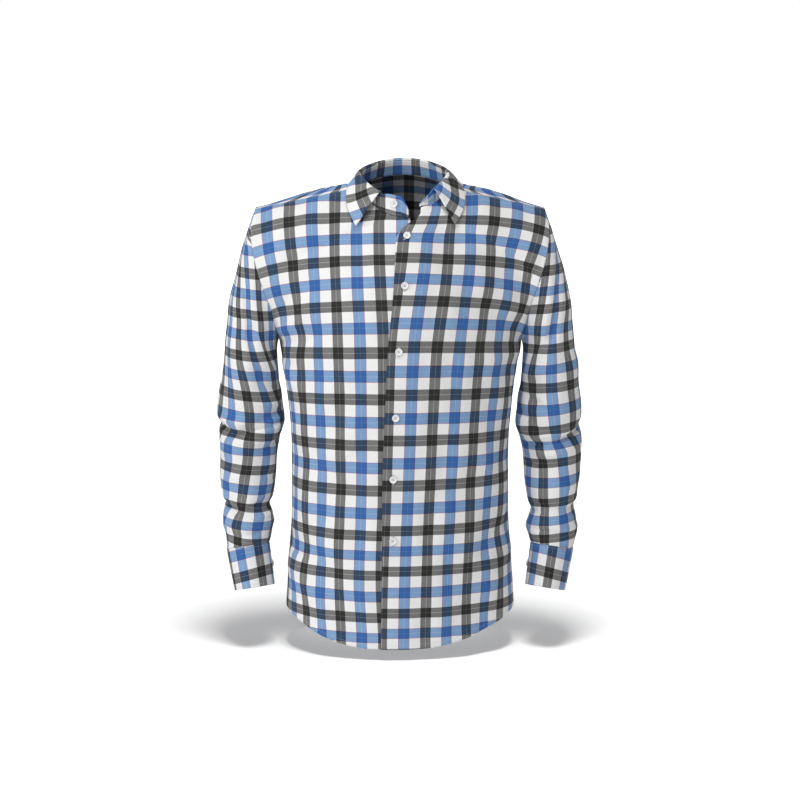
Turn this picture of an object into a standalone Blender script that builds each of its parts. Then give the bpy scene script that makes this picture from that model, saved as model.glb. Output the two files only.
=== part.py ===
"""Check shirt with long sleeves, filled out with no wearer inside.

Metres, +Z up. The front faces -Y and +X is the wearer's left. The origin is the middle of the neck base,
level with the points where the shoulders meet the neck. Each cut piece of cloth is one wall, laid out as a
sheet whose two directions (u, v) run from 0 to 1 between its seams.
"""

import math
from collections import namedtuple

import bmesh
import bpy
import numpy as np
from mathutils import Vector

CLOTH = 0.0012          # wall of one piece of cloth
SEAM = 0.00018          # what each piece holds back from a seam, so two lie about 0.3 mm apart
LIE = 0.0005            # clear space under a piece that lies on another
LAP = 0.017             # each front reaches this far past the centre front
LAP_RISE = CLOTH + LIE + 0.0002  # the upper layer of a lap above the lower one
COLLAR_RISE = 0.0012    # what the left front springs away more under the collar
LAP_FADE_START = 0.020  # the left front comes back down between these distances from the centre front
LAP_FADE_END = 0.050
PLACKET_RISE = LIE + 0.0003 + CLOTH  # a sleeve placket above its sleeve

NECK_X = 0.006          # the collar sits a little to the wearer's left
NECK_HALF = 0.072       # half the neckline across the shoulders
NECK_BACK = 0.052       # neckline behind the origin
NECK_FRONT = 0.082      # neckline in front of the origin
NECK_RISE = 0.011       # the back neck above the side neck
NECK_DROP = 0.043       # the front neck below the side neck
NECK_SIDE_Z = 0.000
NECK_OPEN = 0.037       # how far the left front's edge swings out above its first button
YOKE_NECK = 100.0       # degrees round the neckline, from the back, where the front yoke seam starts

ARM_TOP = -0.036        # armhole, highest and lowest
ARM_LOW = -0.246
ARM_HALF = 0.061        # half its width, front to back
ARM_Y = 0.004
YOKE_FRONT_TURN = 9.0   # degrees round the armhole from its top to the front yoke seam
YOKE_BACK_TURN = 76.0   # and to the back yoke seam

BUTTON_RADIUS = 0.00575
BUTTON_THICK = 0.0024
BUTTON_GAP = 0.0004     # between a button and its cloth

Profile = namedtuple("Profile", "z y")
FRONT_LINE = [  # the centre front from the hem to the neck
    Profile(-0.760, -0.126), Profile(-0.660, -0.129), Profile(-0.560, -0.126), Profile(-0.460, -0.124),
    Profile(-0.350, -0.131), Profile(-0.245, -0.138), Profile(-0.160, -0.131), Profile(-0.100, -0.112),
    Profile(-0.048, -0.086), Profile(0.000, -0.066),
]
BACK_LINE = [  # the centre back from the hem to the yoke seam
    Profile(-0.760, 0.121), Profile(-0.660, 0.122), Profile(-0.560, 0.112), Profile(-0.440, 0.098),
    Profile(-0.330, 0.108), Profile(-0.220, 0.126), Profile(-0.140, 0.131), Profile(-0.092, 0.124),
    Profile(-0.040, 0.106),
]
Width = namedtuple("Width", "z x")
SIDE_LINE = [  # half the width between the side seams
    Width(-0.740, 0.182), Width(-0.670, 0.1830), Width(-0.600, 0.1795), Width(-0.530, 0.1745),
    Width(-0.460, 0.1740), Width(-0.400, 0.1745), Width(-0.310, 0.1830), Width(-0.246, 0.1930),
]
ARM_LINE = [  # how far out the armhole lies at each height
    Width(-0.246, 0.1930), Width(-0.225, 0.1970), Width(-0.186, 0.2050), Width(-0.165, 0.2130),
    Width(-0.127, 0.2250), Width(-0.093, 0.2320), Width(-0.066, 0.2345), Width(-0.036, 0.2285),
]
CENTRE_LINE = [  # the line of the buttons, which leans a little
    Width(-0.760, -0.0140), Width(-0.550, -0.0110), Width(-0.450, -0.0105), Width(-0.350, -0.0065),
    Width(-0.245, -0.0015), Width(-0.144, 0.0075), Width(-0.070, 0.0110), Width(-0.030, 0.0120),
]
HEM_FRONT = -0.7225
HEM_BACK = -0.7340
HEM_SIDE = -0.6780
HEM_CURVE = (0.12, 0.96)  # shares of a panel's width between which its hem rises
HEM_SHARE = 0.30        # share of the rows that follow the hem's curve
LEVEL = 0.15            # share of a front's width over which its rows run level at the buttons
PIT_Z = {-1: NECK_SIDE_Z - NECK_DROP, 1: -0.0335}  # where the right and left front edges meet the neckline
PIT_TURN = {-1: 180.0, 1: 160.0}
FULLNESS = 0.85         # 1 makes the trunk an oval, less makes it flatter in front and fuller at the sides
V_PIT = 0.78            # rows of a front below the neck pit
V_OPEN = 0.72           # rows below the neck opening
V_ARM = 0.56            # rows of a front below the armhole
V_ARM_BACK = 0.66       # rows of the back below the armhole
YOKE_BACK_Z = -0.092
YOKE_REACH = 0.46       # share of the yoke's columns that run round the neck
YOKE_FAN = 60.0         # degrees by which the columns at the neck's sides fan out
YOKE_BACK_FALL = -0.50  # slope with which the yoke leaves the neck behind
YOKE_SIDE_FALL = -0.24  # and beside it
YOKE_NECK_CROWN = 0.34  # rise over the shoulder, at the neck
YOKE_ARM_CROWN = 0.86   # and at the armhole
YOKE_BACK_SLOPE = 0.22  # lean of the back where the yoke meets it

Ring = namedtuple("Ring", "t x y z wide deep")
SLEEVE = [  # sections of the left sleeve, from under the arm to the cuff
    Ring(0.30, 0.2375, 0.003, -0.262, 0.0415, 0.064),
    Ring(0.40, 0.2400, 0.005, -0.312, 0.0465, 0.063),
    Ring(0.52, 0.2395, 0.009, -0.377, 0.0525, 0.060),
    Ring(0.60, 0.2435, 0.009, -0.420, 0.0475, 0.057),
    Ring(0.70, 0.2445, 0.005, -0.472, 0.0445, 0.053),
    Ring(0.80, 0.2455, -0.001, -0.520, 0.0385, 0.049),
    Ring(0.91, 0.2440, -0.007, -0.558, 0.0380, 0.046),
    Ring(1.00, 0.2425, -0.012, -0.580, 0.0340, 0.0410),
]
T_ARM = SLEEVE[0].t
LEAVE_TOP = Width(-0.62, 0.24)  # direction in which the sleeve leaves the armhole, at its top
LEAVE_LOW = Width(-0.80, 0.30)  # and under the arm
CUFF_TOP = Ring(0.0, 0.2450, -0.0122, -0.5806, 0.0344, 0.0416)
CUFF_END = Ring(1.0, 0.2340, -0.0260, -0.6460, 0.0322, 0.0400)
CUFF_EXTRA = 24.0       # degrees by which a cuff laps over itself
CUFF_RISE = 40.0        # degrees over which its upper end rises on to the lower one
CUFF_START = -140.0     # where its lap lies: behind, towards the body's back
PLACKET_TOP = 0.74      # the sleeve placket's pointed end along the sleeve
PLACKET_END = 0.957     # its end by the cuff
PLACKET_EDGES = (0.8542, 0.9167)  # its edges round the sleeve

Fold = namedtuple("Fold", "a_x a_z b_x b_z width depth")
FRONT_RIGHT_FOLDS = [  # from a to b across the wearer's right front, seen from in front
    Fold(-0.205, -0.215, -0.120, -0.130, 0.016, -0.0040),
    Fold(-0.200, -0.250, -0.110, -0.215, 0.018, -0.0045),
    Fold(-0.190, -0.270, -0.150, -0.330, 0.012, 0.0035),
    Fold(-0.180, -0.560, -0.100, -0.600, 0.016, -0.0040),
    Fold(-0.185, -0.600, -0.120, -0.655, 0.014, 0.0035),
    Fold(-0.150, -0.430, -0.050, -0.490, 0.020, -0.0025),
    Fold(-0.060, -0.560, -0.040, -0.720, 0.014, 0.0030),
]
FRONT_LEFT_FOLDS = [
    Fold(0.205, -0.150, 0.120, -0.110, 0.016, -0.0035),
    Fold(0.200, -0.235, 0.110, -0.160, 0.018, -0.0050),
    Fold(0.195, -0.260, 0.120, -0.270, 0.014, 0.0035),
    Fold(0.185, -0.520, 0.120, -0.590, 0.015, -0.0050),
    Fold(0.185, -0.560, 0.140, -0.640, 0.013, 0.0040),
    Fold(0.150, -0.440, 0.040, -0.500, 0.020, -0.0025),
    Fold(0.030, -0.340, 0.020, -0.520, 0.012, 0.0020),
]
BACK_FOLDS = [
    Fold(-0.200, -0.200, -0.080, -0.260, 0.020, -0.0045),
    Fold(0.200, -0.190, 0.090, -0.250, 0.020, -0.0045),
    Fold(-0.160, -0.400, 0.020, -0.440, 0.022, -0.0050),
    Fold(0.170, -0.380, -0.010, -0.470, 0.018, 0.0040),
    Fold(-0.120, -0.480, 0.060, -0.520, 0.020, 0.0040),
    Fold(0.090, -0.520, 0.070, -0.720, 0.018, 0.0045),
    Fold(-0.080, -0.540, -0.090, -0.720, 0.018, 0.0045),
]
ARM_RADIUS = 0.050      # of the sleeve, for the length of its folds round the arm
SleeveFold = namedtuple("SleeveFold", "turn z turn_end z_end width depth")
SLEEVE_FOLDS = [  # turn in degrees: 0 is the outside of the arm, 90 the front, 180 next to the body
    SleeveFold(150, -0.262, 60, -0.205, 0.013, -0.0050),
    SleeveFold(165, -0.300, 75, -0.268, 0.012, 0.0040),
    SleeveFold(-20, -0.372, 70, -0.392, 0.010, -0.0060),
    SleeveFold(60, -0.396, 165, -0.352, 0.010, -0.0055),
    SleeveFold(100, -0.382, 190, -0.372, 0.012, 0.0045),
    SleeveFold(20, -0.425, 120, -0.410, 0.012, 0.0035),
    SleeveFold(-40, -0.505, 110, -0.522, 0.009, -0.0045),
    SleeveFold(90, -0.515, 220, -0.512, 0.008, -0.0045),
    SleeveFold(120, -0.540, 230, -0.538, 0.010, 0.0045),
    SleeveFold(-60, -0.545, 80, -0.540, 0.009, 0.0035),
    SleeveFold(200, -0.330, 290, -0.380, 0.014, 0.0040),
    SleeveFold(210, -0.440, 300, -0.400, 0.012, -0.0040),
]

SLEEVE_FOLD_LIFT = {-1: 0.0, 1: 0.008}   # the left sleeve's folds lie a little lower
SLEEVE_FOLD_DEPTH = {-1: 1.0, 1: 0.9}    # and are a little shallower

StandRow = namedtuple("StandRow", "turn height lean")
STAND_ROWS = [  # round the neck from the back, in degrees: height of the stand, and how far its top leans in
    StandRow(0.0, 0.0225, 0.0060), StandRow(60.0, 0.0205, 0.0045), StandRow(100.0, 0.0180, 0.0030),
    StandRow(140.0, 0.0225, 0.0010), StandRow(165.0, 0.0280, 0.0000), StandRow(190.0, 0.0290, 0.0000),
]
STAND_RIGHT, STAND_LEFT = -186.0, 161.0  # where its ends lie round the neck
STAND_FOOT = 0.0010     # its lower edge above the neckline
STAND_ROUND = 13.0      # degrees over which its ends are rounded off
STAND_END = 0.58        # height left at its very ends

LeafRow = namedtuple("LeafRow", "turn x y z")
LEAF_EDGE = [  # the free edge of the collar leaf, by degrees round the neck: negative is the wearer's right
    LeafRow(-151.0, -0.0690, -0.0890, -0.0552),
    LeafRow(-138.0, -0.0800, -0.0710, -0.0335),
    LeafRow(-110.0, -0.0840, -0.0420, -0.0040),
    LeafRow(-80.0, -0.0780, 0.0000, 0.0058),
    LeafRow(-45.0, -0.0550, 0.0440, 0.0060),
    LeafRow(0.0, 0.0060, 0.0710, 0.0030),
    LeafRow(45.0, 0.0680, 0.0440, 0.0060),
    LeafRow(80.0, 0.0930, 0.0000, 0.0064),
    LeafRow(110.0, 0.1000, -0.0420, -0.0040),
    LeafRow(136.0, 0.0980, -0.0700, -0.0336),
    LeafRow(148.0, 0.0860, -0.0880, -0.0534),
]

ROLL_SHARE = 0.20       # share of the leaf that rolls over the top of the stand
ROLL_WIDTH = 0.0034
ROLL_RISE = 0.0040
ROLL_SPRING = 0.40      # how far the leaf springs out before it falls, as a share of its fall

FRONT_BUTTONS_Z = [-0.070, -0.144, -0.2455, -0.350, -0.449, -0.547]
COLLAR_BUTTON = (0.052, 0.60)   # (u, v) on the stand
CUFF_BUTTON = (0.972, 0.5)      # (u, v) on a cuff

FRONT_COLUMNS = [0.0, 0.07, 0.14, 0.22, 0.31, 0.40, 0.49, 0.58, 0.67, 0.76, 0.84, 0.92, 1.0]
SLEEVE_COLUMNS = 24
SLEEVE_ROWS = [0.0, 0.03, 0.07, 0.12, 0.17, 0.22, 0.26, 0.30, 0.34, 0.38, 0.42, 0.46, 0.50, 0.53, 0.56,
               0.60, 0.64, 0.69, 0.74, 0.78, 0.82, 0.85, 0.88, 0.91, 0.94, 0.97, 1.0]
LEAF_ROWS = [0.0, 0.07, 0.14, ROLL_SHARE, 0.30, 0.42, 0.56, 0.70, 0.85, 1.0]


def smooth(low, high, x):
    """0 below low, 1 above high, and an even rise between them."""
    s = np.clip((x - low) / (high - low), 0.0, 1.0)
    return s * s * (3.0 - 2.0 * s)


def read(table, key, column, x):
    """A smooth curve through one named column of a table, at x along another."""
    rows = sorted(table, key=lambda row: getattr(row, key))
    xs = np.array([getattr(row, key) for row in rows], float)
    ys = np.array([getattr(row, column) for row in rows], float)
    slopes = np.gradient(ys, xs)
    x = np.clip(np.asarray(x, float), xs[0], xs[-1])
    i = np.clip(np.searchsorted(xs, x) - 1, 0, len(xs) - 2)
    step = xs[i + 1] - xs[i]
    s = (x - xs[i]) / step
    return (
        ys[i] * (1 + 2 * s) * (1 - s) ** 2
        + slopes[i] * step * s * (1 - s) ** 2
        + ys[i + 1] * s * s * (3 - 2 * s)
        + slopes[i + 1] * step * s * s * (s - 1)
    )


def points(x, y, z):
    """Stack three arrays into one array of points."""
    x, y, z = np.broadcast_arrays(x, y, z)
    return np.stack([x, y, z], axis=-1).astype(float)


def mix(a, b, s):
    return a + (b - a) * s


def outward(place, u, v, step=0.004):
    """The unit normal of a sheet, from its neighbours along u and v."""
    along = place(u + step, v) - place(u - step, v)
    up = place(u, v + step) - place(u, v - step)
    normal = np.cross(along, up)
    return normal / np.maximum(np.linalg.norm(normal, axis=-1, keepdims=True), 1e-12)


def fold_height(folds, x, z):
    """How far the folds push a panel out, by where its point lies seen from in front."""
    height = np.zeros_like(x)
    for fold in folds:
        dx, dz = fold.b_x - fold.a_x, fold.b_z - fold.a_z
        length = math.hypot(dx, dz)
        s = ((x - fold.a_x) * dx + (z - fold.a_z) * dz) / length
        across = ((x - fold.a_x) * dz - (z - fold.a_z) * dx) / length
        ends = smooth(-0.3, 0.35, s / length) * (1 - smooth(0.55, 1.2, s / length))
        height = height + fold.depth * np.exp(-((across / fold.width) ** 2)) * ends
    return height


def armhole(turn, side):
    """The armhole seam by degrees from its top: 90 is its front, 180 its lowest point, -90 its back."""
    a = np.radians(turn)
    middle, half = (ARM_TOP + ARM_LOW) / 2, (ARM_TOP - ARM_LOW) / 2
    z = middle + half * np.cos(a)
    return points(side * read(ARM_LINE, "z", "x", z), ARM_Y - ARM_HALF * np.sin(a), z)


def neckline(turn):
    """The neck seam. turn is in degrees from the back: 90 is the wearer's left side, -90 the right."""
    a = np.radians(turn)
    c = np.cos(a)
    x = NECK_X + NECK_HALF * np.sin(a)
    middle, half = (NECK_BACK - NECK_FRONT) / 2, (NECK_BACK + NECK_FRONT) / 2
    z = NECK_SIDE_Z + np.where(c > 0, NECK_RISE, -NECK_DROP) * c * c
    return points(x, middle + half * c, z)


def centre_front(v, side):
    """The centre front of a front panel, from the hem at 0 to the neck pit at V_PIT."""
    z = HEM_FRONT + (PIT_Z[side] - HEM_FRONT) * v / V_PIT
    return points(read(CENTRE_LINE, "z", "x", z), read(FRONT_LINE, "z", "y", z), z)


def row_between(centre, outer, turn, end_turn, rise, straight=0.0):
    """A row that curves round from centre to outer while it turns by end_turn, or goes straight there."""
    across = np.sin(turn) / np.sin(end_turn)
    depth = np.maximum(np.cos(turn), 0.0) ** FULLNESS
    end_depth = np.maximum(np.cos(end_turn), 0.0) ** FULLNESS
    back = mix((1 - depth) / (1 - end_depth), across, straight)
    return points(
        mix(centre[..., 0], outer[..., 0], across),
        mix(centre[..., 1], outer[..., 1], back),
        mix(centre[..., 2], outer[..., 2], rise),
    )


def side_edge(v, v_arm, side, sign, yoke_turn):
    """Side seam and armhole edge of a panel: sign is 1 for a front, -1 for the back."""
    s = v / v_arm
    z = mix(HEM_SIDE, ARM_LOW, s)
    seam = points(side * read(SIDE_LINE, "z", "x", z), np.full_like(z, ARM_Y), z)
    t = np.clip((v - v_arm) / (1 - v_arm), -0.2, 1.2)
    arm = armhole(sign * mix(180.0, yoke_turn, t), side)
    return np.where((v < v_arm)[..., None], seam, arm)


def front_base(side):
    """The sheet of a front panel without folds: u from its lapping edge to the side, v from hem to yoke."""

    def place(u, v):
        u, v = np.broadcast_arrays(np.asarray(u, float), np.asarray(v, float))
        end_turn = np.radians(mix(90.0, 48.0, smooth(V_ARM - 0.08, 1.0, v)))
        centre = centre_front(np.minimum(v, V_PIT), side)
        past = np.clip((v - V_PIT) / (1 - V_PIT), 0.0, 1.2)
        neck = neckline(side * mix(PIT_TURN[side], YOKE_NECK, past))
        centre = np.where((v > V_PIT)[..., None], neck, centre)
        outer = side_edge(v, V_ARM, side, 1.0, YOKE_FRONT_TURN)
        reach = np.abs(outer[..., 0] - centre[..., 0])
        swing = NECK_OPEN * smooth(-0.074, PIT_Z[side], centre[..., 2]) if side > 0 else 0.0
        lap = np.where(v > V_PIT + 1e-6, 0.0, LAP - swing)
        start = -np.arcsin(lap / reach * np.sin(end_turn))
        turn = mix(start, end_turn, u)
        s = np.abs(turn / end_turn)
        rise = mix(smooth(*HEM_CURVE, s), s * s * (1 + LEVEL) / (s + LEVEL), smooth(0.0, HEM_SHARE, v))
        straight = smooth(V_PIT, 1.0, v)
        rise = mix(rise, np.sin(np.abs(turn)) / np.sin(end_turn), straight)
        return row_between(centre, outer, turn, end_turn, rise, straight)

    return place


def front_panel(side, folds):
    """A front with its folds. The wearer's left front lies over the right one at the lap."""
    base = front_base(side)

    def place(u, v):
        flat = base(u, v)
        x, z = flat[..., 0], flat[..., 2]
        edge = smooth(0.0, 0.10, 1 - u) * smooth(0.0, 0.05, 1 - v) * smooth(0.13, 0.26, u)
        height = fold_height(folds, x, z) * edge
        if side > 0:
            centre = read(CENTRE_LINE, "z", "x", z)
            lift = LAP_RISE + COLLAR_RISE * smooth(-0.170, -0.100, z)
            height = height + lift * (1 - smooth(LAP_FADE_START, LAP_FADE_END, x - centre))
        return flat + outward(base, u, v) * side * height[..., None]

    return place


def back_base(u, v):
    """The sheet of the back without folds: u from its right side to its left, v from hem to yoke."""
    u, v = np.broadcast_arrays(np.asarray(u, float), np.asarray(v, float))
    side = np.where(u < 0.5, -1.0, 1.0)
    end_turn = np.radians(mix(90.0, 62.0, smooth(V_ARM_BACK - 0.10, 1.0, v)))
    z = mix(HEM_BACK, YOKE_BACK_Z, v)
    centre = points(np.zeros_like(z), read(BACK_LINE, "z", "y", z), z)
    outer = side_edge(v, V_ARM_BACK, side, -1.0, YOKE_BACK_TURN)
    turn = np.abs(u - 0.5) * 2 * end_turn
    s = turn / end_turn
    rise = mix(smooth(*HEM_CURVE, s), s * s, smooth(0.0, HEM_SHARE, v))
    return row_between(centre, outer, turn, end_turn, rise)


def back_panel(u, v):
    """The back with its folds."""
    flat = back_base(u, v)
    edge = smooth(0.0, 0.06, 0.5 - np.abs(u - 0.5)) * smooth(0.0, 0.05, 1 - v)
    height = fold_height(BACK_FOLDS, flat[..., 0], flat[..., 2]) * edge
    return flat - outward(back_base, u, v) * height[..., None]


def yoke(u, v):
    """The yoke: u from right armhole to left, v from its front seams and the neckline to its back seam."""
    u, v = np.broadcast_arrays(np.asarray(u, float), np.asarray(v, float))
    side = np.where(u < 0.5, -1.0, 1.0)
    reach = np.clip(np.abs(u - 0.5) * 2, 0.0, 1.0)
    turn = side * YOKE_NECK * np.clip(reach / YOKE_REACH, 0.0, 1.0)
    neck = neckline(turn)
    tip = armhole(YOKE_FRONT_TURN, side)
    corner = neckline(side * YOKE_NECK)
    along = np.clip((reach - YOKE_REACH) / (1 - YOKE_REACH), 0.0, 1.0)[..., None]
    start = np.where((reach > YOKE_REACH)[..., None], mix(corner, tip, along), neck)
    end = back_base(u, 1.0)
    over = smooth(0.0, 1.0, reach / YOKE_REACH) ** 2
    fan = np.radians(YOKE_FAN) * np.where(reach < YOKE_REACH, reach / YOKE_REACH, (1 - along[..., 0]) ** 1.5)
    leave_x, leave_y = side * np.sin(fan), np.cos(fan)
    crown = mix(YOKE_NECK_CROWN, YOKE_ARM_CROWN, along[..., 0])
    fall = YOKE_BACK_FALL * leave_y + YOKE_SIDE_FALL * np.sin(fan)
    leave = points(leave_x, leave_y, mix(fall, crown, over))
    arrive = points(0.0 * reach, YOKE_BACK_SLOPE + 0.0 * reach, -1.0 + 0.0 * reach)
    length = np.linalg.norm(end - start, axis=-1, keepdims=True)

    def hermite(start, end, leave, arrive, length):
        s = v[..., None]
        return (
            start * (1 + 2 * s) * (1 - s) ** 2
            + leave * length * s * (1 - s) ** 2
            + end * s * s * (3 - 2 * s)
            + arrive * length * s * s * (s - 1)
        )

    sheet = hermite(start, end, leave, arrive, length)
    seam = armhole(mix(YOKE_FRONT_TURN, -YOKE_BACK_TURN, v), side)
    last_end = armhole(-YOKE_BACK_TURN, side)
    last_length = np.linalg.norm(last_end - tip, axis=-1, keepdims=True)
    last = hermite(tip, last_end, points(0 * v, 1 + 0 * v, YOKE_ARM_CROWN + 0 * v), arrive, last_length)
    return sheet + (seam - last) * smooth(0.55, 1.0, reach)[..., None]


def tube_frame(rings, key, t, side):
    """Centre, outward and forward directions of a tube along its rings."""
    centre = points(*(read(rings, key, axis, t) for axis in "xyz"))
    step = 0.02
    ahead = points(*(read(rings, key, axis, t + step) for axis in "xyz"))
    behind = points(*(read(rings, key, axis, t - step) for axis in "xyz"))
    line = ahead - behind
    line = line / np.linalg.norm(line, axis=-1, keepdims=True)
    out = np.zeros_like(line)
    out[..., 0] = 1.0
    out = out - line * np.sum(out * line, axis=-1, keepdims=True)
    out = out / np.linalg.norm(out, axis=-1, keepdims=True)
    front = np.cross(line, out)
    mirror = np.array([side, 1.0, 1.0])
    return centre * mirror, out * mirror, front * mirror


def tube_point(rings, t, a, side):
    """A point of a tube at t along its rings and a radians round them."""
    centre, out, front = tube_frame(rings, "t", t, side)
    wide = read(rings, "t", "wide", t)[..., None]
    deep = read(rings, "t", "deep", t)[..., None]
    return centre + out * wide * np.cos(a) + front * deep * np.sin(a)


def sleeve_base(side):
    """The sheet of a sleeve without folds: u round the arm from its underside, v from armhole to cuff."""

    def place(u, v):
        u, v = np.broadcast_arrays(np.asarray(u, float), np.asarray(v, float))
        turn = 180.0 - 360.0 * u
        a = np.radians(turn)[..., None]
        t = np.maximum(v, T_ARM)
        ring = tube_point(SLEEVE, t, a, side)
        wrist = tube_point([CUFF_TOP, CUFF_END], 0 * t, a, side)
        ring = mix(ring, wrist, smooth(0.90, 1.0, v)[..., None])
        seam = armhole(turn, side)
        s = np.clip(v / T_ARM, -0.2, 1.0)[..., None]
        length = np.linalg.norm(ring - seam, axis=-1, keepdims=True)
        top = (1 + np.cos(a)) / 2
        leave_x = side * mix(LEAVE_LOW.x, LEAVE_TOP.x, top[..., 0])
        leave = points(leave_x, 0 * v, mix(LEAVE_LOW.z, LEAVE_TOP.z, top[..., 0]))
        arrive = points(0 * v, 0 * v, -1 + 0 * v)
        loft = (
            seam * (1 + 2 * s) * (1 - s) ** 2
            + leave * length * s * (1 - s) ** 2
            + ring * s * s * (3 - 2 * s)
            + arrive * length * s * s * (s - 1)
        )
        return np.where((v < T_ARM)[..., None], loft, ring)

    return place


def sleeve_fold_height(turn, z):
    """How far the folds push a sleeve out, by the turn round the arm in degrees and the height."""
    height = np.zeros_like(z)
    for fold in SLEEVE_FOLDS:
        length = math.hypot(math.radians(fold.turn_end - fold.turn) * ARM_RADIUS, fold.z_end - fold.z)
        run_x = math.radians(fold.turn_end - fold.turn) * ARM_RADIUS / length
        run_z = (fold.z_end - fold.z) / length
        from_start = (turn - fold.turn + 180.0) % 360.0 - 180.0
        away = np.radians(from_start) * ARM_RADIUS
        s = (away * run_x + (z - fold.z) * run_z) / length
        across = away * run_z - (z - fold.z) * run_x
        ends = smooth(-0.3, 0.3, s) * (1 - smooth(0.6, 1.2, s))
        height = height + fold.depth * np.exp(-((across / fold.width) ** 2)) * ends
    return height


def sleeve(side):
    """A sleeve with its folds."""
    base = sleeve_base(side)

    def place(u, v):
        flat = base(u, v)
        turn = 180.0 - 360.0 * u
        edge = smooth(0.0, 0.14, v) * smooth(0.0, 0.05, 1 - v)
        height = sleeve_fold_height(turn, flat[..., 2] + SLEEVE_FOLD_LIFT[side])
        height = height * SLEEVE_FOLD_DEPTH[side] * edge
        return flat - outward(base, u, v) * side * height[..., None]

    return place


def cuff(side):
    """A cuff: u round the wrist, past a full turn so that it laps over itself, v from top to bottom."""

    def place(u, v):
        u, v = np.broadcast_arrays(np.asarray(u, float), np.asarray(v, float))
        turn = CUFF_START - (360.0 + CUFF_EXTRA) * u
        a = np.radians(turn)[..., None]
        centre, out, front = tube_frame([CUFF_TOP, CUFF_END], "t", v, side)
        over = LAP_RISE * smooth(360.0 - CUFF_RISE, 360.0, (360.0 + CUFF_EXTRA) * u)
        wide = (read([CUFF_TOP, CUFF_END], "t", "wide", v) + over)[..., None]
        deep = (read([CUFF_TOP, CUFF_END], "t", "deep", v) + over)[..., None]
        return centre + out * wide * np.cos(a) + front * deep * np.sin(a)

    return place


def sleeve_placket(side):
    """The strip over the slit behind the wrist, on the sleeve's outside: u across it, v down it."""
    on = sleeve(side)

    def place(u, v):
        u, v = np.broadcast_arrays(np.asarray(u, float), np.asarray(v, float))
        narrow = 1 - smooth(PLACKET_TOP, PLACKET_TOP + 0.035, v)
        across = mix(PLACKET_EDGES[0], PLACKET_EDGES[1], mix(u, 0.5, 0.8 * narrow))
        return on(across, v) - outward(on, across, v) * side * PLACKET_RISE

    return place


def stand_edge(turn, height_share):
    """The collar stand, round the neck by turn and up by the share of its height."""
    base = neckline(turn)
    height = read(STAND_ROWS, "turn", "height", np.abs(turn))
    lean = read(STAND_ROWS, "turn", "lean", np.abs(turn))
    a = np.radians(turn)
    return base + points(
        -lean * height_share * np.sin(a),
        -lean * height_share * np.cos(a),
        STAND_FOOT + height * height_share,
    )


def collar_stand(u, v):
    """The stand: u from its right end round the back to its left end, v from the neck seam up."""
    u, v = np.broadcast_arrays(np.asarray(u, float), np.asarray(v, float))
    turn = mix(STAND_RIGHT, STAND_LEFT, u)
    end = np.minimum(turn - STAND_RIGHT, STAND_LEFT - turn)
    return stand_edge(turn, v * mix(STAND_END, 1.0, smooth(0.0, STAND_ROUND, end)))


def collar_leaf(u, v):
    """The leaf: u from its right point round to its left point, v from the stand over the fold and down."""
    u, v = np.broadcast_arrays(np.asarray(u, float), np.asarray(v, float))
    first, last = LEAF_EDGE[0].turn, LEAF_EDGE[-1].turn
    turn = mix(first, last, u)
    top = stand_edge(turn, 1.0)
    edge = points(*(read(LEAF_EDGE, "turn", axis, turn) for axis in "xyz"))
    a = np.radians(turn)
    out = points(np.sin(a), np.cos(a), 0 * a)
    up = points(0 * a, 0 * a, 1 + 0 * a)
    start = top - out * CLOTH + up * LIE
    crest = start + out * ROLL_WIDTH + up * ROLL_RISE
    quarter = (np.clip(v / ROLL_SHARE, 0.0, 1.0) * math.pi / 2)[..., None]
    roll = start + out * ROLL_WIDTH * (1 - np.cos(quarter)) + up * ROLL_RISE * np.sin(quarter)
    s = np.clip((v - ROLL_SHARE) / (1 - ROLL_SHARE), 0.0, 1.0)[..., None]
    run = edge - crest
    length = np.linalg.norm(run, axis=-1, keepdims=True)
    fall = crest * (1 + 2 * s) * (1 - s) ** 2 + out * length * ROLL_SPRING * s * (1 - s) ** 2
    fall = fall + edge * s * s * (3 - 2 * s) + run * s * s * (s - 1)
    return np.where((v > ROLL_SHARE)[..., None], fall, roll)


def new_material(name, colour, roughness):
    """A plain finish for one sub-part."""
    material = bpy.data.materials.new(name)
    material.use_nodes = True
    shader = material.node_tree.nodes["Principled BSDF"]
    shader.inputs["Base Color"].default_value = (*colour, 1.0)
    shader.inputs["Roughness"].default_value = roughness
    shader.inputs["Metallic"].default_value = 0.0
    return material


def new_object(name, mesh, collection, material):
    """Put a mesh in the shirt's collection as its own object."""
    mesh.materials.append(material)
    mesh.shade_smooth()
    obj = bpy.data.objects.new(name, mesh)
    collection.objects.link(obj)
    return obj


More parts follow.
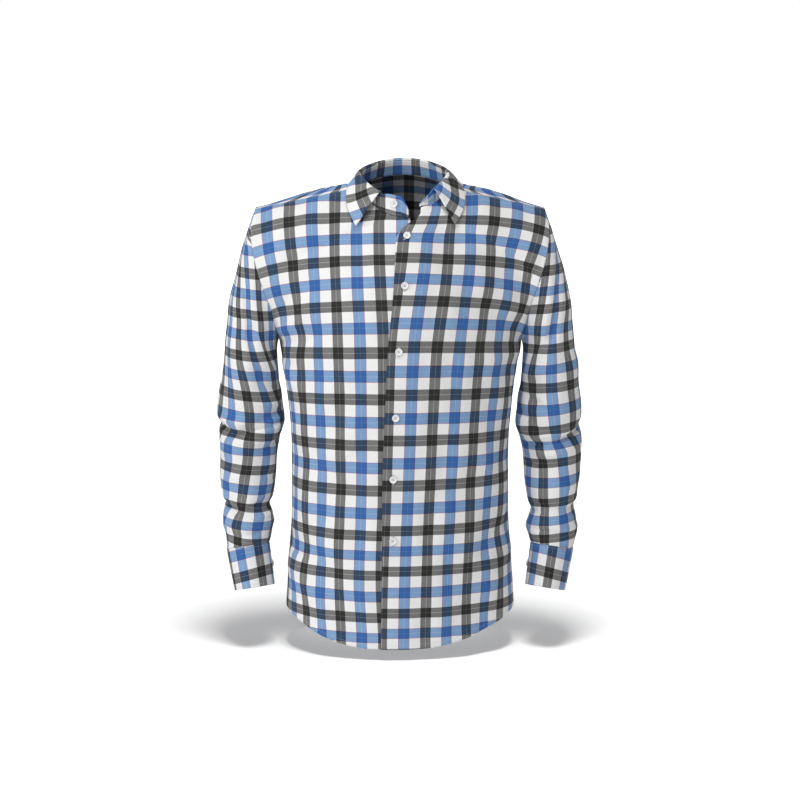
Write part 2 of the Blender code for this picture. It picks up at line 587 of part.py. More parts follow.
def cloth(name, place, columns, rows, collection, material, around=False, hold=(1, 1, 1, 1), flip=False):
    """One wall of cloth: a grid laid on its sheet and thickened inwards.

    columns and rows are the numbers of grid squares, or lists of the places of the grid's lines.
    hold says which of its edges (u low, u high, v low, v high) end at a seam and are held back from it.
    """
    us = np.linspace(0, 1, columns + 1) if isinstance(columns, int) else np.array(columns)
    vs = np.linspace(0, 1, rows + 1) if isinstance(rows, int) else np.array(rows)
    bm = bmesh.new()
    bmesh.ops.create_grid(bm, x_segments=len(us) - 1, y_segments=len(vs) - 1, size=1.0)
    bm.verts.ensure_lookup_table()
    u_index = [round((vert.co.x + 1) / 2 * (len(us) - 1)) for vert in bm.verts]
    v_index = [round((vert.co.y + 1) / 2 * (len(vs) - 1)) for vert in bm.verts]
    grid_u, grid_v = np.meshgrid(us, vs)
    grid = place(grid_u, grid_v)
    low_u, high_u, low_v, high_v = hold
    for keep, at, inner in (
        (low_u, np.s_[:, 0], np.s_[:, 1]), (high_u, np.s_[:, -1], np.s_[:, -2]),
        (low_v, np.s_[0, :], np.s_[1, :]), (high_v, np.s_[-1, :], np.s_[-2, :]),
    ):
        step = grid[inner] - grid[at]
        step = step / np.linalg.norm(step, axis=-1, keepdims=True)
        grid[at] = grid[at] + step * SEAM * np.broadcast_to(keep, step.shape[:1])[:, None]
    for vert, i, j in zip(bm.verts, u_index, v_index):
        vert.co = grid[j, i]
    if around:
        bmesh.ops.remove_doubles(bm, verts=bm.verts, dist=0.00001)
    if flip:
        bmesh.ops.reverse_faces(bm, faces=bm.faces)
    mesh = bpy.data.meshes.new(name)
    bm.to_mesh(mesh)
    bm.free()
    obj = new_object(name, mesh, collection, material)
    wall = obj.modifiers.new("wall", "SOLIDIFY")
    wall.thickness = CLOTH
    wall.offset = -1.0
    wall.use_even_offset = True
    return obj


def button(name, on, u, v, side, collection, material):
    """A button flat on its cloth at (u, v)."""
    place = on(np.array(u), np.array(v))
    normal = outward(on, np.array(u), np.array(v)) * side
    bm = bmesh.new()
    bmesh.ops.create_cone(
        bm, cap_ends=True, segments=12, radius1=BUTTON_RADIUS, radius2=BUTTON_RADIUS, depth=BUTTON_THICK
    )
    rim = [edge for edge in bm.edges if abs(edge.verts[0].co.z - edge.verts[1].co.z) < 1e-6]
    bmesh.ops.bevel(bm, geom=rim, offset=0.0006, segments=1, affect="EDGES", profile=0.5, material=-1)
    mesh = bpy.data.meshes.new(name)
    bm.to_mesh(mesh)
    bm.free()
    obj = new_object(name, mesh, collection, material)
    from_z = normal_rotation(normal)
    obj.rotation_mode = "QUATERNION"
    obj.rotation_quaternion = from_z
    obj.location = place + normal * (BUTTON_THICK / 2 + BUTTON_GAP)
    return obj


def normal_rotation(normal):
    """The rotation that turns +Z to a normal."""
    return Vector((0.0, 0.0, 1.0)).rotation_difference(Vector([float(value) for value in normal]))


def find_v(place, u, z):
    """The v at which a sheet's point at u lies at height z."""
    v = np.linspace(0.0, V_PIT - 0.01, 800)
    return float(v[np.argmin(np.abs(place(np.full_like(v, u), v)[..., 2] - z))])


def find_u(place, v, x):
    """The u at which a sheet's point at v lies at x."""
    u = np.linspace(0.0, 1.0, 800)
    return float(u[np.argmin(np.abs(place(u, np.full_like(u, v))[..., 0] - x))])


def front_rows(below, beside, above):
    """The rows of a front: even ones below the neck opening, closer ones beside it, the rest above it."""
    low = list(np.linspace(0, V_OPEN, below + 1)) + list(np.linspace(V_OPEN, V_PIT, beside + 1)[1:])
    step = (1 - V_PIT) / (above + 0.6)
    high = [V_PIT + step * (i + 0.6) for i in range(above + 1)]
    return low + high


def build():
    """Make every piece of the shirt."""
    for obj in list(bpy.data.objects):
        bpy.data.objects.remove(obj)
    shirt = bpy.data.collections.new("check_shirt")
    bpy.context.scene.collection.children.link(shirt)

    cloth_colours = {
        "front": (0.36, 0.47, 0.62), "back": (0.33, 0.44, 0.60), "yoke": (0.40, 0.50, 0.64),
        "sleeve": (0.35, 0.46, 0.62), "cuff": (0.30, 0.40, 0.56), "collar": (0.45, 0.54, 0.66),
        "placket": (0.32, 0.42, 0.57),
    }
    cloths = {name: new_material(name + "_cloth", colour, 0.85) for name, colour in cloth_colours.items()}
    plastic = new_material("button_plastic", (0.88, 0.88, 0.86), 0.30)

    right, left = front_panel(-1, FRONT_RIGHT_FOLDS), front_panel(1, FRONT_LEFT_FOLDS)
    rows = front_rows(24, 6, 6)
    side_hold = 1.8 + 2.4 * smooth(0.75, 0.95, np.array(rows))
    cloth("front_right", right, FRONT_COLUMNS, rows, shirt, cloths["front"],
          hold=(0, side_hold, 0, 1), flip=True)
    cloth("front_left", left, FRONT_COLUMNS, rows, shirt, cloths["front"], hold=(0, side_hold, 0, 1))
    cloth("back", back_panel, 20, 28, shirt, cloths["back"], hold=(1.8, 1.8, 0, 1.8), flip=True)
    corner = 0.5 + YOKE_REACH / 2
    half = list(np.linspace(0.5, corner, 10)) + list(np.linspace(corner, 1.0, 6)[1:])
    across = [1 - u for u in half[:0:-1]] + half
    cloth("yoke", yoke, across, 7, shirt, cloths["yoke"], hold=(4, 4, 1, 1.8))

    for side, name in ((-1, "right"), (1, "left")):
        flip = side > 0
        top = (1 - np.cos(np.linspace(0, 2 * math.pi, SLEEVE_COLUMNS + 1))) / 2
        cloth("sleeve_" + name, sleeve(side), SLEEVE_COLUMNS, SLEEVE_ROWS, shirt, cloths["sleeve"],
              around=True, hold=(0, 0, 1 + 4.6 * smooth(0.3, 0.9, top), 1.5), flip=flip)
        cloth("cuff_" + name, cuff(side), 30, 3, shirt, cloths["cuff"], hold=(0, 0, 1.5, 0), flip=flip)
        strip = [row for row in SLEEVE_ROWS if PLACKET_TOP <= row < PLACKET_END] + [PLACKET_END]
        cloth("sleeve_placket_" + name, sleeve_placket(side), 3, strip, shirt, cloths["placket"],
              hold=(0, 0, 0, 1), flip=flip)

    cloth("collar_stand", collar_stand, 48, 3, shirt, cloths["collar"], hold=(0, 0, 0, 0), flip=True)
    cloth("collar_leaf", collar_leaf, 40, LEAF_ROWS, shirt, cloths["collar"], hold=(0, 0, 0, 0))

    for number, z in enumerate(FRONT_BUTTONS_Z, 1):
        v = find_v(left, 0.1, z)
        u = find_u(left, v, float(read(CENTRE_LINE, "z", "x", z)))
        button(f"button_front_{number}", left, u, v, 1, shirt, plastic)
    button("button_collar", collar_stand, *COLLAR_BUTTON, -1, shirt, plastic)
    for side, name in ((-1, "right"), (1, "left")):
        button("button_cuff_" + name, cuff(side), *CUFF_BUTTON, -side, shirt, plastic)


build()
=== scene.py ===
"""The looks of a check shirt with long sleeves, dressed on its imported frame.

Metres, +Z up. The front faces -Y and +X is the wearer's left. Every piece of cloth is a sheet whose two
directions (u, v) run from 0 to 1 between its seams, laid out on the same named sizes as its solid.
"""

import logging
import math
from collections import namedtuple
from collections.abc import Callable, Sequence
from dataclasses import dataclass, field
from enum import Enum

import bmesh
import bpy
import numpy as np
from mathutils import Matrix, Vector


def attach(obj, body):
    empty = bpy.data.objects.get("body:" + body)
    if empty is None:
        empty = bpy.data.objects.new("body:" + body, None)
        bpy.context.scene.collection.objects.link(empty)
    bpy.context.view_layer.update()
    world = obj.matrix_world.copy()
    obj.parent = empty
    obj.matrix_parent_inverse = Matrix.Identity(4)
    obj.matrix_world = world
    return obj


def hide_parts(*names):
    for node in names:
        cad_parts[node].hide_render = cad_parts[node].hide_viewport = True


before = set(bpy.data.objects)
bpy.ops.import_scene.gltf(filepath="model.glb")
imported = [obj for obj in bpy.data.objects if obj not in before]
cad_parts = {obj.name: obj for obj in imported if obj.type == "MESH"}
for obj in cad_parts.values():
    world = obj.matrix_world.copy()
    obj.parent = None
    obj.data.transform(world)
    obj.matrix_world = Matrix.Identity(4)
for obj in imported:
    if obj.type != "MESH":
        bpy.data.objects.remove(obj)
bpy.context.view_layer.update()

Array = np.ndarray
Sheet = Callable[[Array, Array], Array]
Socket = bpy.types.NodeSocket
log = logging.getLogger("shirt")

RIDES_ON = "root"
CHECK = 0.0345          # from the middle of one band to the next: a grey and a blue band make a repeat
SEAM_GAP = 0.00016      # what each piece holds back from a seam
BODY_WALL = 0.0007      # the cloth of the body and sleeves
FOLDED_WALL = 0.0012    # cloth folded double, with its interlining, in the collar and cuffs

FOLD_FADE = (0.35, 0.55)        # the shares of a fold's length where it is all there and starts to go
ARM_FOLD_FADE = (0.3, 0.6)
HEM_FOLD = (0.0085, 0.01)       # where on a panel its turned hem ends
HEM_RISE = 0.00022
RIPPLE_REACH = 1.25             # a panel's width round the body for each metre seen from in front
TIP = Matrix.Rotation(math.pi / 2, 4, "Y")      # turns a sphere's poles along a stitch

# the columns of the tables: heights z, places x and y, degrees of turn, and sizes in metres
Profile = namedtuple("Profile", "z y")
Width = namedtuple("Width", "z x")
Ring = namedtuple("Ring", "t x y z wide deep")
Fold = namedtuple("Fold", "a_x a_z b_x b_z width depth")
SleeveFold = namedtuple("SleeveFold", "turn z turn_end z_end width depth")
StandRow = namedtuple("StandRow", "turn height lean")
LeafRow = namedtuple("LeafRow", "turn x y z")


class Side(Enum):
    """Which side of the wearer a piece is on."""

    RIGHT = -1
    LEFT = 1

    @property
    def word(self) -> str:
        """The side as it stands in a piece's name."""
        return self.name.lower()


def smooth(low: float, high: float, x: Array) -> Array:
    """Rise evenly from one bound to the other.

    Args:
        low: where the result is 0.
        high: where the result is 1.
        x: the places to read.

    Returns:
        0 below low, 1 above high, and an even rise between them.
    """
    s = np.clip((x - low) / (high - low), 0.0, 1.0)
    return s * s * (3.0 - 2.0 * s)


def read(rows: Sequence, key: str, column: str, x: Array) -> Array:
    """Read a smooth curve through one named column of a table.

    Args:
        rows: the table's rows, with named columns.
        key: the column along which x runs.
        column: the column to read.
        x: the places to read at, held between the first and last row.

    Returns:
        The curve's values at x.
    """
    rows = sorted(rows, key=lambda row: getattr(row, key))
    xs = np.array([getattr(row, key) for row in rows], float)
    ys = np.array([getattr(row, column) for row in rows], float)
    slopes = np.gradient(ys, xs)
    x = np.clip(np.asarray(x, float), xs[0], xs[-1])
    i = np.clip(np.searchsorted(xs, x) - 1, 0, len(xs) - 2)
    step = xs[i + 1] - xs[i]
    s = (x - xs[i]) / step
    return (
        ys[i] * (1 + 2 * s) * (1 - s) ** 2
        + slopes[i] * step * s * (1 - s) ** 2
        + ys[i + 1] * s * s * (3 - 2 * s)
        + slopes[i + 1] * step * s * s * (s - 1)
    )


def points(x: Array, y: Array, z: Array) -> Array:
    """Stack three arrays into one array of points."""
    x, y, z = np.broadcast_arrays(x, y, z)
    return np.stack([x, y, z], axis=-1).astype(float)


def mix(a: Array, b: Array, s: Array) -> Array:
    """Go from a to b by the share s."""
    return a + (b - a) * s


def unit(vectors: Array) -> Array:
    """Scale vectors to a length of 1."""
    return vectors / np.maximum(np.linalg.norm(vectors, axis=-1, keepdims=True), 1e-12)


def outward(place: Sheet, u: Array, v: Array, step: float = 0.004) -> Array:
    """Find the unit normal of a sheet.

    Args:
        place: the sheet.
        u: where across it.
        v: where along it.
        step: how far off the neighbours lie that it is worked out from.

    Returns:
        One normal for each place.
    """
    along = place(u + step, v) - place(u - step, v)
    up = place(u, v + step) - place(u, v - step)
    return unit(np.cross(along, up))


def hermite(start: Array, end: Array, leave: Array, arrive: Array, length: Array, s: Array) -> Array:
    """Run a curve between two points with given directions at its ends.

    Args:
        start: where it starts.
        end: where it ends.
        leave: its direction at the start.
        arrive: its direction at the end.
        length: how strongly the directions pull.
        s: the share of the way.

    Returns:
        The points at s.
    """
    return (
        start * (1 + 2 * s) * (1 - s) ** 2
        + leave * length * s * (1 - s) ** 2
        + end * s * s * (3 - 2 * s)
        + arrive * length * s * s * (s - 1)
    )


def run_length(path: Array, axis: int = 0) -> Array:
    """Measure how far each point of a path or grid lies from the first one along an axis."""
    step = np.linalg.norm(np.diff(path, axis=axis), axis=-1)
    return np.concatenate([np.zeros_like(np.take(step, [0], axis)), np.cumsum(step, axis=axis)], axis=axis)


def table(kind: type, *rows: tuple[float, ...]) -> tuple:
    """Give each row of a table the names of its columns."""
    return tuple(kind(*row) for row in rows)


def crease(away: Array, up: Array, run: float, drop: float, fold: Fold, fade: tuple[float, float]) -> Array:
    """Work out how far one fold pushes the cloth out.

    Args:
        away: how far the points lie across from where it starts.
        up: how far they lie upwards from there.
        run: how far across it goes.
        drop: how far up it goes.
        fold: its width and depth.
        fade: the shares of its length where it is all there and where it starts to go.

    Returns:
        A height in metres for each point.
    """
    length = math.hypot(run, drop)
    s = (away * run + up * drop) / length**2
    across = (away * drop - up * run) / length
    ends = smooth(-0.3, fade[0], s) * (1 - smooth(fade[1], 1.2, s))
    return fold.depth * np.exp(-((across / fold.width) ** 2)) * ends


def fold_height(folds: Sequence[Fold], x: Array, z: Array) -> Array:
    """Work out how far folds push a panel out.

    Args:
        folds: the folds, as seen from in front.
        x: where the panel's points lie across.
        z: where they lie upwards.

    Returns:
        A height in metres for each point.
    """
    height = np.zeros_like(x)
    for fold in folds:
        run, drop = fold.b_x - fold.a_x, fold.b_z - fold.a_z
        height = height + crease(x - fold.a_x, z - fold.a_z, run, drop, fold, FOLD_FADE)
    return height


def add_object(name: str, mesh: bpy.types.Mesh) -> bpy.types.Object:
    """Put a mesh into the scene as an object.

    Args:
        name: what to call it.
        mesh: its mesh.

    Returns:
        The object.
    """
    obj = bpy.data.objects.new(name, mesh)
    bpy.context.scene.collection.objects.link(obj)
    return obj


def from_bmesh(bm: bmesh.types.BMesh, name: str) -> bpy.types.Object:
    """Turn a bmesh into an object in the scene.

    Args:
        bm: the bmesh, which is freed.
        name: what to call it.

    Returns:
        The object.
    """
    mesh = bpy.data.meshes.new(name)
    bm.to_mesh(mesh)
    bm.free()
    return add_object(name, mesh)


def finish(obj: bpy.types.Object, material: bpy.types.Material) -> None:
    """Give a piece its material and say what it rides on.

    Args:
        obj: the piece.
        material: its finish.
    """
    obj.data.materials.append(material)
    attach(obj, RIDES_ON)


@dataclass(frozen=True)
class Ripples:
    """Soft uneven waves that cloth keeps all over."""

    seed: int
    depth: float = 0.0009
    shortest: float = 0.05
    longest: float = 0.15
    lean: float = 0.0       # 1 makes them all run upright, 0 every way
    waves: int = 9
    bend: float = 0.5       # how far each wave's crests swing from side to side
    bend_length: float = 1.7

    def height(self, across: Array, along: Array) -> Array:
        """Work out the waves' height.

        Args:
            across: metres across the cloth.
            along: metres up the cloth.

        Returns:
            A height in metres for each point.
        """
        rng = np.random.default_rng(self.seed)
        total = np.zeros_like(across)
        for _ in range(self.waves):
            angle = rng.uniform(-math.pi / 2, math.pi / 2) * (1 - self.lean)
            length = rng.uniform(self.shortest, self.longest)
            phase = rng.uniform(0.0, 2 * math.pi)
            way = across * math.cos(angle) + along * math.sin(angle)
            beside = along * math.cos(angle) - across * math.sin(angle)
            bend = self.bend * np.sin(beside * 2 * math.pi / length / self.bend_length)
            total = total + np.sin(way * 2 * math.pi / length + phase + bend)
        return total * self.depth / math.sqrt(self.waves)


@dataclass(frozen=True)
class Pattern:
    """The sizes that the shirt's pieces share, and the seams that they meet in."""

    lap: float = 0.017              # each front reaches this far past the centre front
    lap_rise: float = 0.0019        # the upper layer of a lap above the lower one
    collar_rise: float = 0.0012     # what the left front springs away more under the collar
    lap_fade: tuple[float, float] = (0.02, 0.05)    # over which it comes down on the body
    neck_x: float = 0.006           # the neckline's middle, which leans to the wearer's left
    neck_half: float = 0.072        # half its width, and how far it reaches back and forward
    neck_back: float = 0.052
    neck_front: float = 0.082
    neck_rise: float = 0.011        # how much higher it is behind, and lower in front, than at the sides
    neck_drop: float = 0.043
    neck_open: tuple[float, float] = (0.013, 0.037)     # how far each edge swings out above the buttons
    yoke_neck: float = 100.0        # degrees round the neckline where the front yoke seam starts
    arm_top: float = -0.036         # the armhole's top and lowest point, half its depth and its middle
    arm_low: float = -0.246
    arm_half: float = 0.061
    arm_y: float = 0.004
    yoke_front_turn: float = 9.0    # degrees from the armhole's top where the yoke's seams meet it
    yoke_back_turn: float = 76.0
    hem_front: float = -0.7225
    hem_back: float = -0.734
    hem_side: float = -0.678
    hem_curve: tuple[float, float] = (0.12, 0.96)   # shares of a panel's width between which the hem rises
    hem_share: float = 0.3          # how far up a panel its rows still follow the hem's curve
    level: float = 0.15             # how soon the rows above it rise
    fullness: float = 0.85          # how full the body is towards its sides: 1 is a plain ellipse
    v_pit: float = 0.78             # where on a front its edge turns into the neckline
    v_open: float = 0.72            # where its edge starts to swing open
    v_arm: float = 0.56             # where the armhole starts on the fronts and on the back
    v_arm_back: float = 0.66
    yoke_back_z: float = -0.092
    pit_z: tuple[float, float] = (-0.043, -0.031)   # where the neckline starts on the right and left front
    neck_lift: float = 0.0075       # how far the left front springs up beside its collar end
    pit_turn: tuple[float, float] = (180.0, 160.0)      # degrees round the neckline of those starts
    front_line: tuple[Profile, ...] = table(
        Profile,
        (-0.76, -0.126), (-0.66, -0.129), (-0.56, -0.126), (-0.46, -0.124), (-0.35, -0.131),
        (-0.245, -0.138), (-0.16, -0.131), (-0.1, -0.112), (-0.048, -0.086), (0.0, -0.066),
    )
    back_line: tuple[Profile, ...] = table(
        Profile,
        (-0.76, 0.121), (-0.66, 0.122), (-0.56, 0.112), (-0.44, 0.098), (-0.33, 0.108), (-0.22, 0.126),
        (-0.14, 0.131), (-0.092, 0.124), (-0.04, 0.106),
    )
    side_line: tuple[Width, ...] = table(
        Width,
        (-0.74, 0.182), (-0.67, 0.183), (-0.6, 0.1795), (-0.53, 0.1745), (-0.46, 0.174), (-0.4, 0.1745),
        (-0.31, 0.183), (-0.246, 0.193),
    )
    arm_line: tuple[Width, ...] = table(
        Width,
        (-0.246, 0.193), (-0.225, 0.197), (-0.186, 0.205), (-0.165, 0.213), (-0.127, 0.225),
        (-0.093, 0.232), (-0.066, 0.2345), (-0.036, 0.2285),
    )
    centre_line: tuple[Width, ...] = table(
        Width,
        (-0.76, -0.014), (-0.55, -0.011), (-0.45, -0.0105), (-0.35, -0.0065), (-0.245, -0.0015),
        (-0.144, 0.0075), (-0.07, 0.011), (-0.03, 0.012),
    )

    def of_side(self, pair: tuple[float, float], side: Side) -> float:
        """Pick the right or left one of two sizes."""
        return pair[0] if side is Side.RIGHT else pair[1]

    def armhole(self, turn: Array, sign: Array) -> Array:
        """Follow the armhole seam.

        Args:
            turn: degrees from its top: 90 is its front, 180 its lowest point, -90 its back.
            sign: -1 for the wearer's right, 1 for the left.

        Returns:
            The seam's points.
        """
        a = np.radians(turn)
        middle, half = (self.arm_top + self.arm_low) / 2, (self.arm_top - self.arm_low) / 2
        z = middle + half * np.cos(a)
        return points(sign * read(self.arm_line, "z", "x", z), self.arm_y - self.arm_half * np.sin(a), z)

    def neckline(self, turn: Array) -> Array:
        """Follow the neck seam.

        Args:
            turn: degrees from the back: 90 is the wearer's left, -90 the right.

        Returns:
            The seam's points.
        """
        a = np.radians(turn)
        c = np.cos(a)
        middle, half = (self.neck_back - self.neck_front) / 2, (self.neck_back + self.neck_front) / 2
        z = np.where(c > 0, self.neck_rise, -self.neck_drop) * c * c
        return points(self.neck_x + self.neck_half * np.sin(a), middle + half * c, z)

    def row(
        self, centre: Array, outer: Array, turn: Array, end: Array, rise: Array, straight: Array
    ) -> Array:
        """Curve a row round from the centre to the side.

        Args:
            centre: where the rows start.
            outer: where they end.
            turn: how far round each point lies, in radians.
            end: the turn at which a row ends.
            rise: the share of the way up that each point has made.
            straight: the share by which the row goes straight instead.

        Returns:
            The rows' points.
        """
        across = np.sin(turn) / np.sin(end)
        depth = np.maximum(np.cos(turn), 0.0) ** self.fullness
        end_depth = np.maximum(np.cos(end), 0.0) ** self.fullness
        back = mix((1 - depth) / (1 - end_depth), across, straight)
        return points(
            mix(centre[..., 0], outer[..., 0], across),
            mix(centre[..., 1], outer[..., 1], back),
            mix(centre[..., 2], outer[..., 2], rise),
        )

    def side_edge(self, v: Array, v_arm: float, side: Array, sign: float, yoke_turn: float) -> Array:
        """Follow a panel's side seam and armhole edge.

        Args:
            v: where along the panel.
            v_arm: where the armhole starts.
            side: -1 for the wearer's right, 1 for the left.
            sign: 1 for a front, -1 for the back.
            yoke_turn: where the yoke seam meets the armhole, in degrees from its top.

        Returns:
            The edge's points.
        """
        z = mix(self.hem_side, self.arm_low, v / v_arm)
        seam = points(side * read(self.side_line, "z", "x", z), np.full_like(z, self.arm_y), z)
        t = np.clip((v - v_arm) / (1 - v_arm), -0.2, 1.2)
        arm = self.armhole(sign * mix(180.0, yoke_turn, t), side)
        return np.where((v < v_arm)[..., None], seam, arm)

    def back(self, u: Array, v: Array) -> Array:
        """Lay out the back panel without folds.

        Args:
            u: where from its right side to its left.
            v: where from the hem to the yoke.

        Returns:
            The sheet's points.
        """
        u, v = np.broadcast_arrays(np.asarray(u, float), np.asarray(v, float))
        side = np.where(u < 0.5, -1.0, 1.0)
        end = np.radians(mix(90.0, 62.0, smooth(self.v_arm_back - 0.1, 1.0, v)))
        z = mix(self.hem_back, self.yoke_back_z, v)
        centre = points(np.zeros_like(z), read(self.back_line, "z", "y", z), z)
        outer = self.side_edge(v, self.v_arm_back, side, -1.0, self.yoke_back_turn)
        turn = np.abs(u - 0.5) * 2 * end
        s = turn / end
        rise = mix(smooth(*self.hem_curve, s), s * s, smooth(0.0, self.hem_share, v))
        return self.row(centre, outer, turn, end, rise, np.zeros_like(v))


@dataclass(frozen=True)
class Check:
    """Where the bands of the woven check lie on a piece, in steps from one band to the next.

    Even steps are the middles of grey bands and odd steps the middles of blue ones.
    """

    spacing: tuple[Width, ...] = table(
        Width,
        (-0.7, 0.0345), (-0.36, 0.035), (-0.25, 0.0362), (-0.05, 0.0372),
    )

    @staticmethod
    def across(grid: Array, line_x: Array, sign: float, spacing: Array) -> Array:
        """Count the bands across a piece from a line that lies in the middle of one.

        Args:
            grid: the piece's points, in rows.
            line_x: where that band lies across, at each point's height.
            sign: the way that x grows along a row.
            spacing: metres from one band to the next.

        Returns:
            Steps from that band for each point.
        """
        arc = run_length(grid, 1)
        away = (grid[..., 0] - line_x) * sign
        start = np.empty(grid.shape[0])
        for j, row in enumerate(away):
            over = np.nonzero(row >= 0)[0]
            if len(over) == 0:
                start[j] = arc[j, -1] - row[-1]
            elif over[0] == 0:
                start[j] = -row[0]
            else:
                i = over[0]
                start[j] = mix(arc[j, i - 1], arc[j, i], row[i - 1] / (row[i - 1] - row[i]))
        return (arc - start[:, None]) / spacing

    @staticmethod
    def down(bands: Sequence[float], first: int, z: Array) -> Array:
        """Count the bands down a piece.

        Args:
            bands: heights of the bands' middles, highest first.
            first: the step of the first one.
            z: the heights to count at.

        Returns:
            Steps for each height.
        """
        heights = np.array(bands)[::-1]
        steps = (first + np.arange(len(bands), dtype=float))[::-1]
        low = steps[0] + (heights[0] - z) / (heights[1] - heights[0])
        high = steps[-1] - (z - heights[-1]) / (heights[-1] - heights[-2])
        count = np.interp(z, heights, steps)
        return np.where(z < heights[0], low, np.where(z > heights[-1], high, count))


class Graph:
    """A shorthand for wiring the nodes of one tree."""

    def __init__(self, tree: bpy.types.NodeTree) -> None:
        """Keep the tree that the nodes go in."""
        self.tree = tree

    def node(self, kind: str, **settings: object) -> bpy.types.Node:
        """Add a node.

        Args:
            kind: the node's type.
            settings: its properties.

        Returns:
            The new node.
        """
        node = self.tree.nodes.new(kind)
        for name, value in settings.items():
            setattr(node, name, value)
        return node

    def feed(self, socket: Socket, value: object) -> None:
        """Link or set a socket.

        Args:
            socket: the input to feed.
            value: another node's output, or a constant.
        """
        if isinstance(value, bpy.types.NodeSocket):
            self.tree.links.new(value, socket)
        else:
            socket.default_value = value

    def math(self, operation: str, *values: object) -> Socket:
        """Add a math node.

        Args:
            operation: what it does.
            values: its inputs, sockets or numbers.

        Returns:
            Its output.
        """
        node = self.node("ShaderNodeMath", operation=operation)
        for socket, value in zip(node.inputs, values):
            self.feed(socket, value)
        return node.outputs[0]

    def band(self, distance: Socket, half: float, soft: float = 0.01) -> Socket:
        """Mask a band.

        Args:
            distance: how far a point is from the band's middle.
            half: half the band's width.
            soft: how wide its edge fades.

        Returns:
            1 inside the band and 0 outside.
        """
        inside = self.math("SUBTRACT", half, distance)
        rise = self.math("MULTIPLY_ADD", inside, 1.0 / soft, 0.5)
        return self.math("MINIMUM", self.math("MAXIMUM", rise, 0.0), 1.0)

    def blend(self, factor: object, a: object, b: object, mode: str = "MIX") -> Socket:
        """Blend two colours.

        Args:
            factor: the share of the second one.
            a: the first colour.
            b: the second colour.
            mode: how they blend.

        Returns:
            The blended colour.
        """
        node = self.node("ShaderNodeMix", data_type="RGBA", blend_type=mode)
        self.feed(node.inputs["Factor"], factor)
        self.feed(node.inputs[6], a)
        self.feed(node.inputs[7], b)
        return node.outputs[2]

    def noise(self, vector: Socket, scale: float, detail: float = 2.0) -> Socket:
        """Add a noise and give its value.

        Args:
            vector: where it is read.
            scale: how fine it is.
            detail: how many finer layers it has.

        Returns:
            Its value.
        """
        node = self.node("ShaderNodeTexNoise")
        node.inputs["Scale"].default_value = scale
        node.inputs["Detail"].default_value = detail
        self.feed(node.inputs["Vector"], vector)
        return node.outputs["Fac"]


def new_material(name: str, **settings: object) -> tuple[bpy.types.Material, bpy.types.Node, Graph]:
    """Make a material.

    Args:
        name: what to call it.
        settings: constant values for its shader's inputs, with _ for each blank in their names.

    Returns:
        The material, its shader and a graph for its nodes.
    """
    material = bpy.data.materials.new(name)
    material.use_nodes = True
    shader = material.node_tree.nodes["Principled BSDF"]
    for setting, value in settings.items():
        shader.inputs[setting.replace("_", " ")].default_value = value
    return material, shader, Graph(material.node_tree)


@dataclass(frozen=True)
class YarnColours:
    """How much light each dyed yarn lets through, as a share of undyed white."""

    grey: tuple[float, float, float, float] = (0.158, 0.157, 0.153, 1.0)
    blue: tuple[float, float, float, float] = (0.205, 0.385, 0.67, 1.0)
    red: tuple[float, float, float, float] = (0.46, 0.11, 0.2, 1.0)
    pale: tuple[float, float, float, float] = (0.46, 0.46, 0.47, 1.0)
    sky: tuple[float, float, float, float] = (0.38, 0.58, 0.82, 1.0)
    grey_half: float = 0.242
    blue_half: float = 0.236
    line: float = 0.011


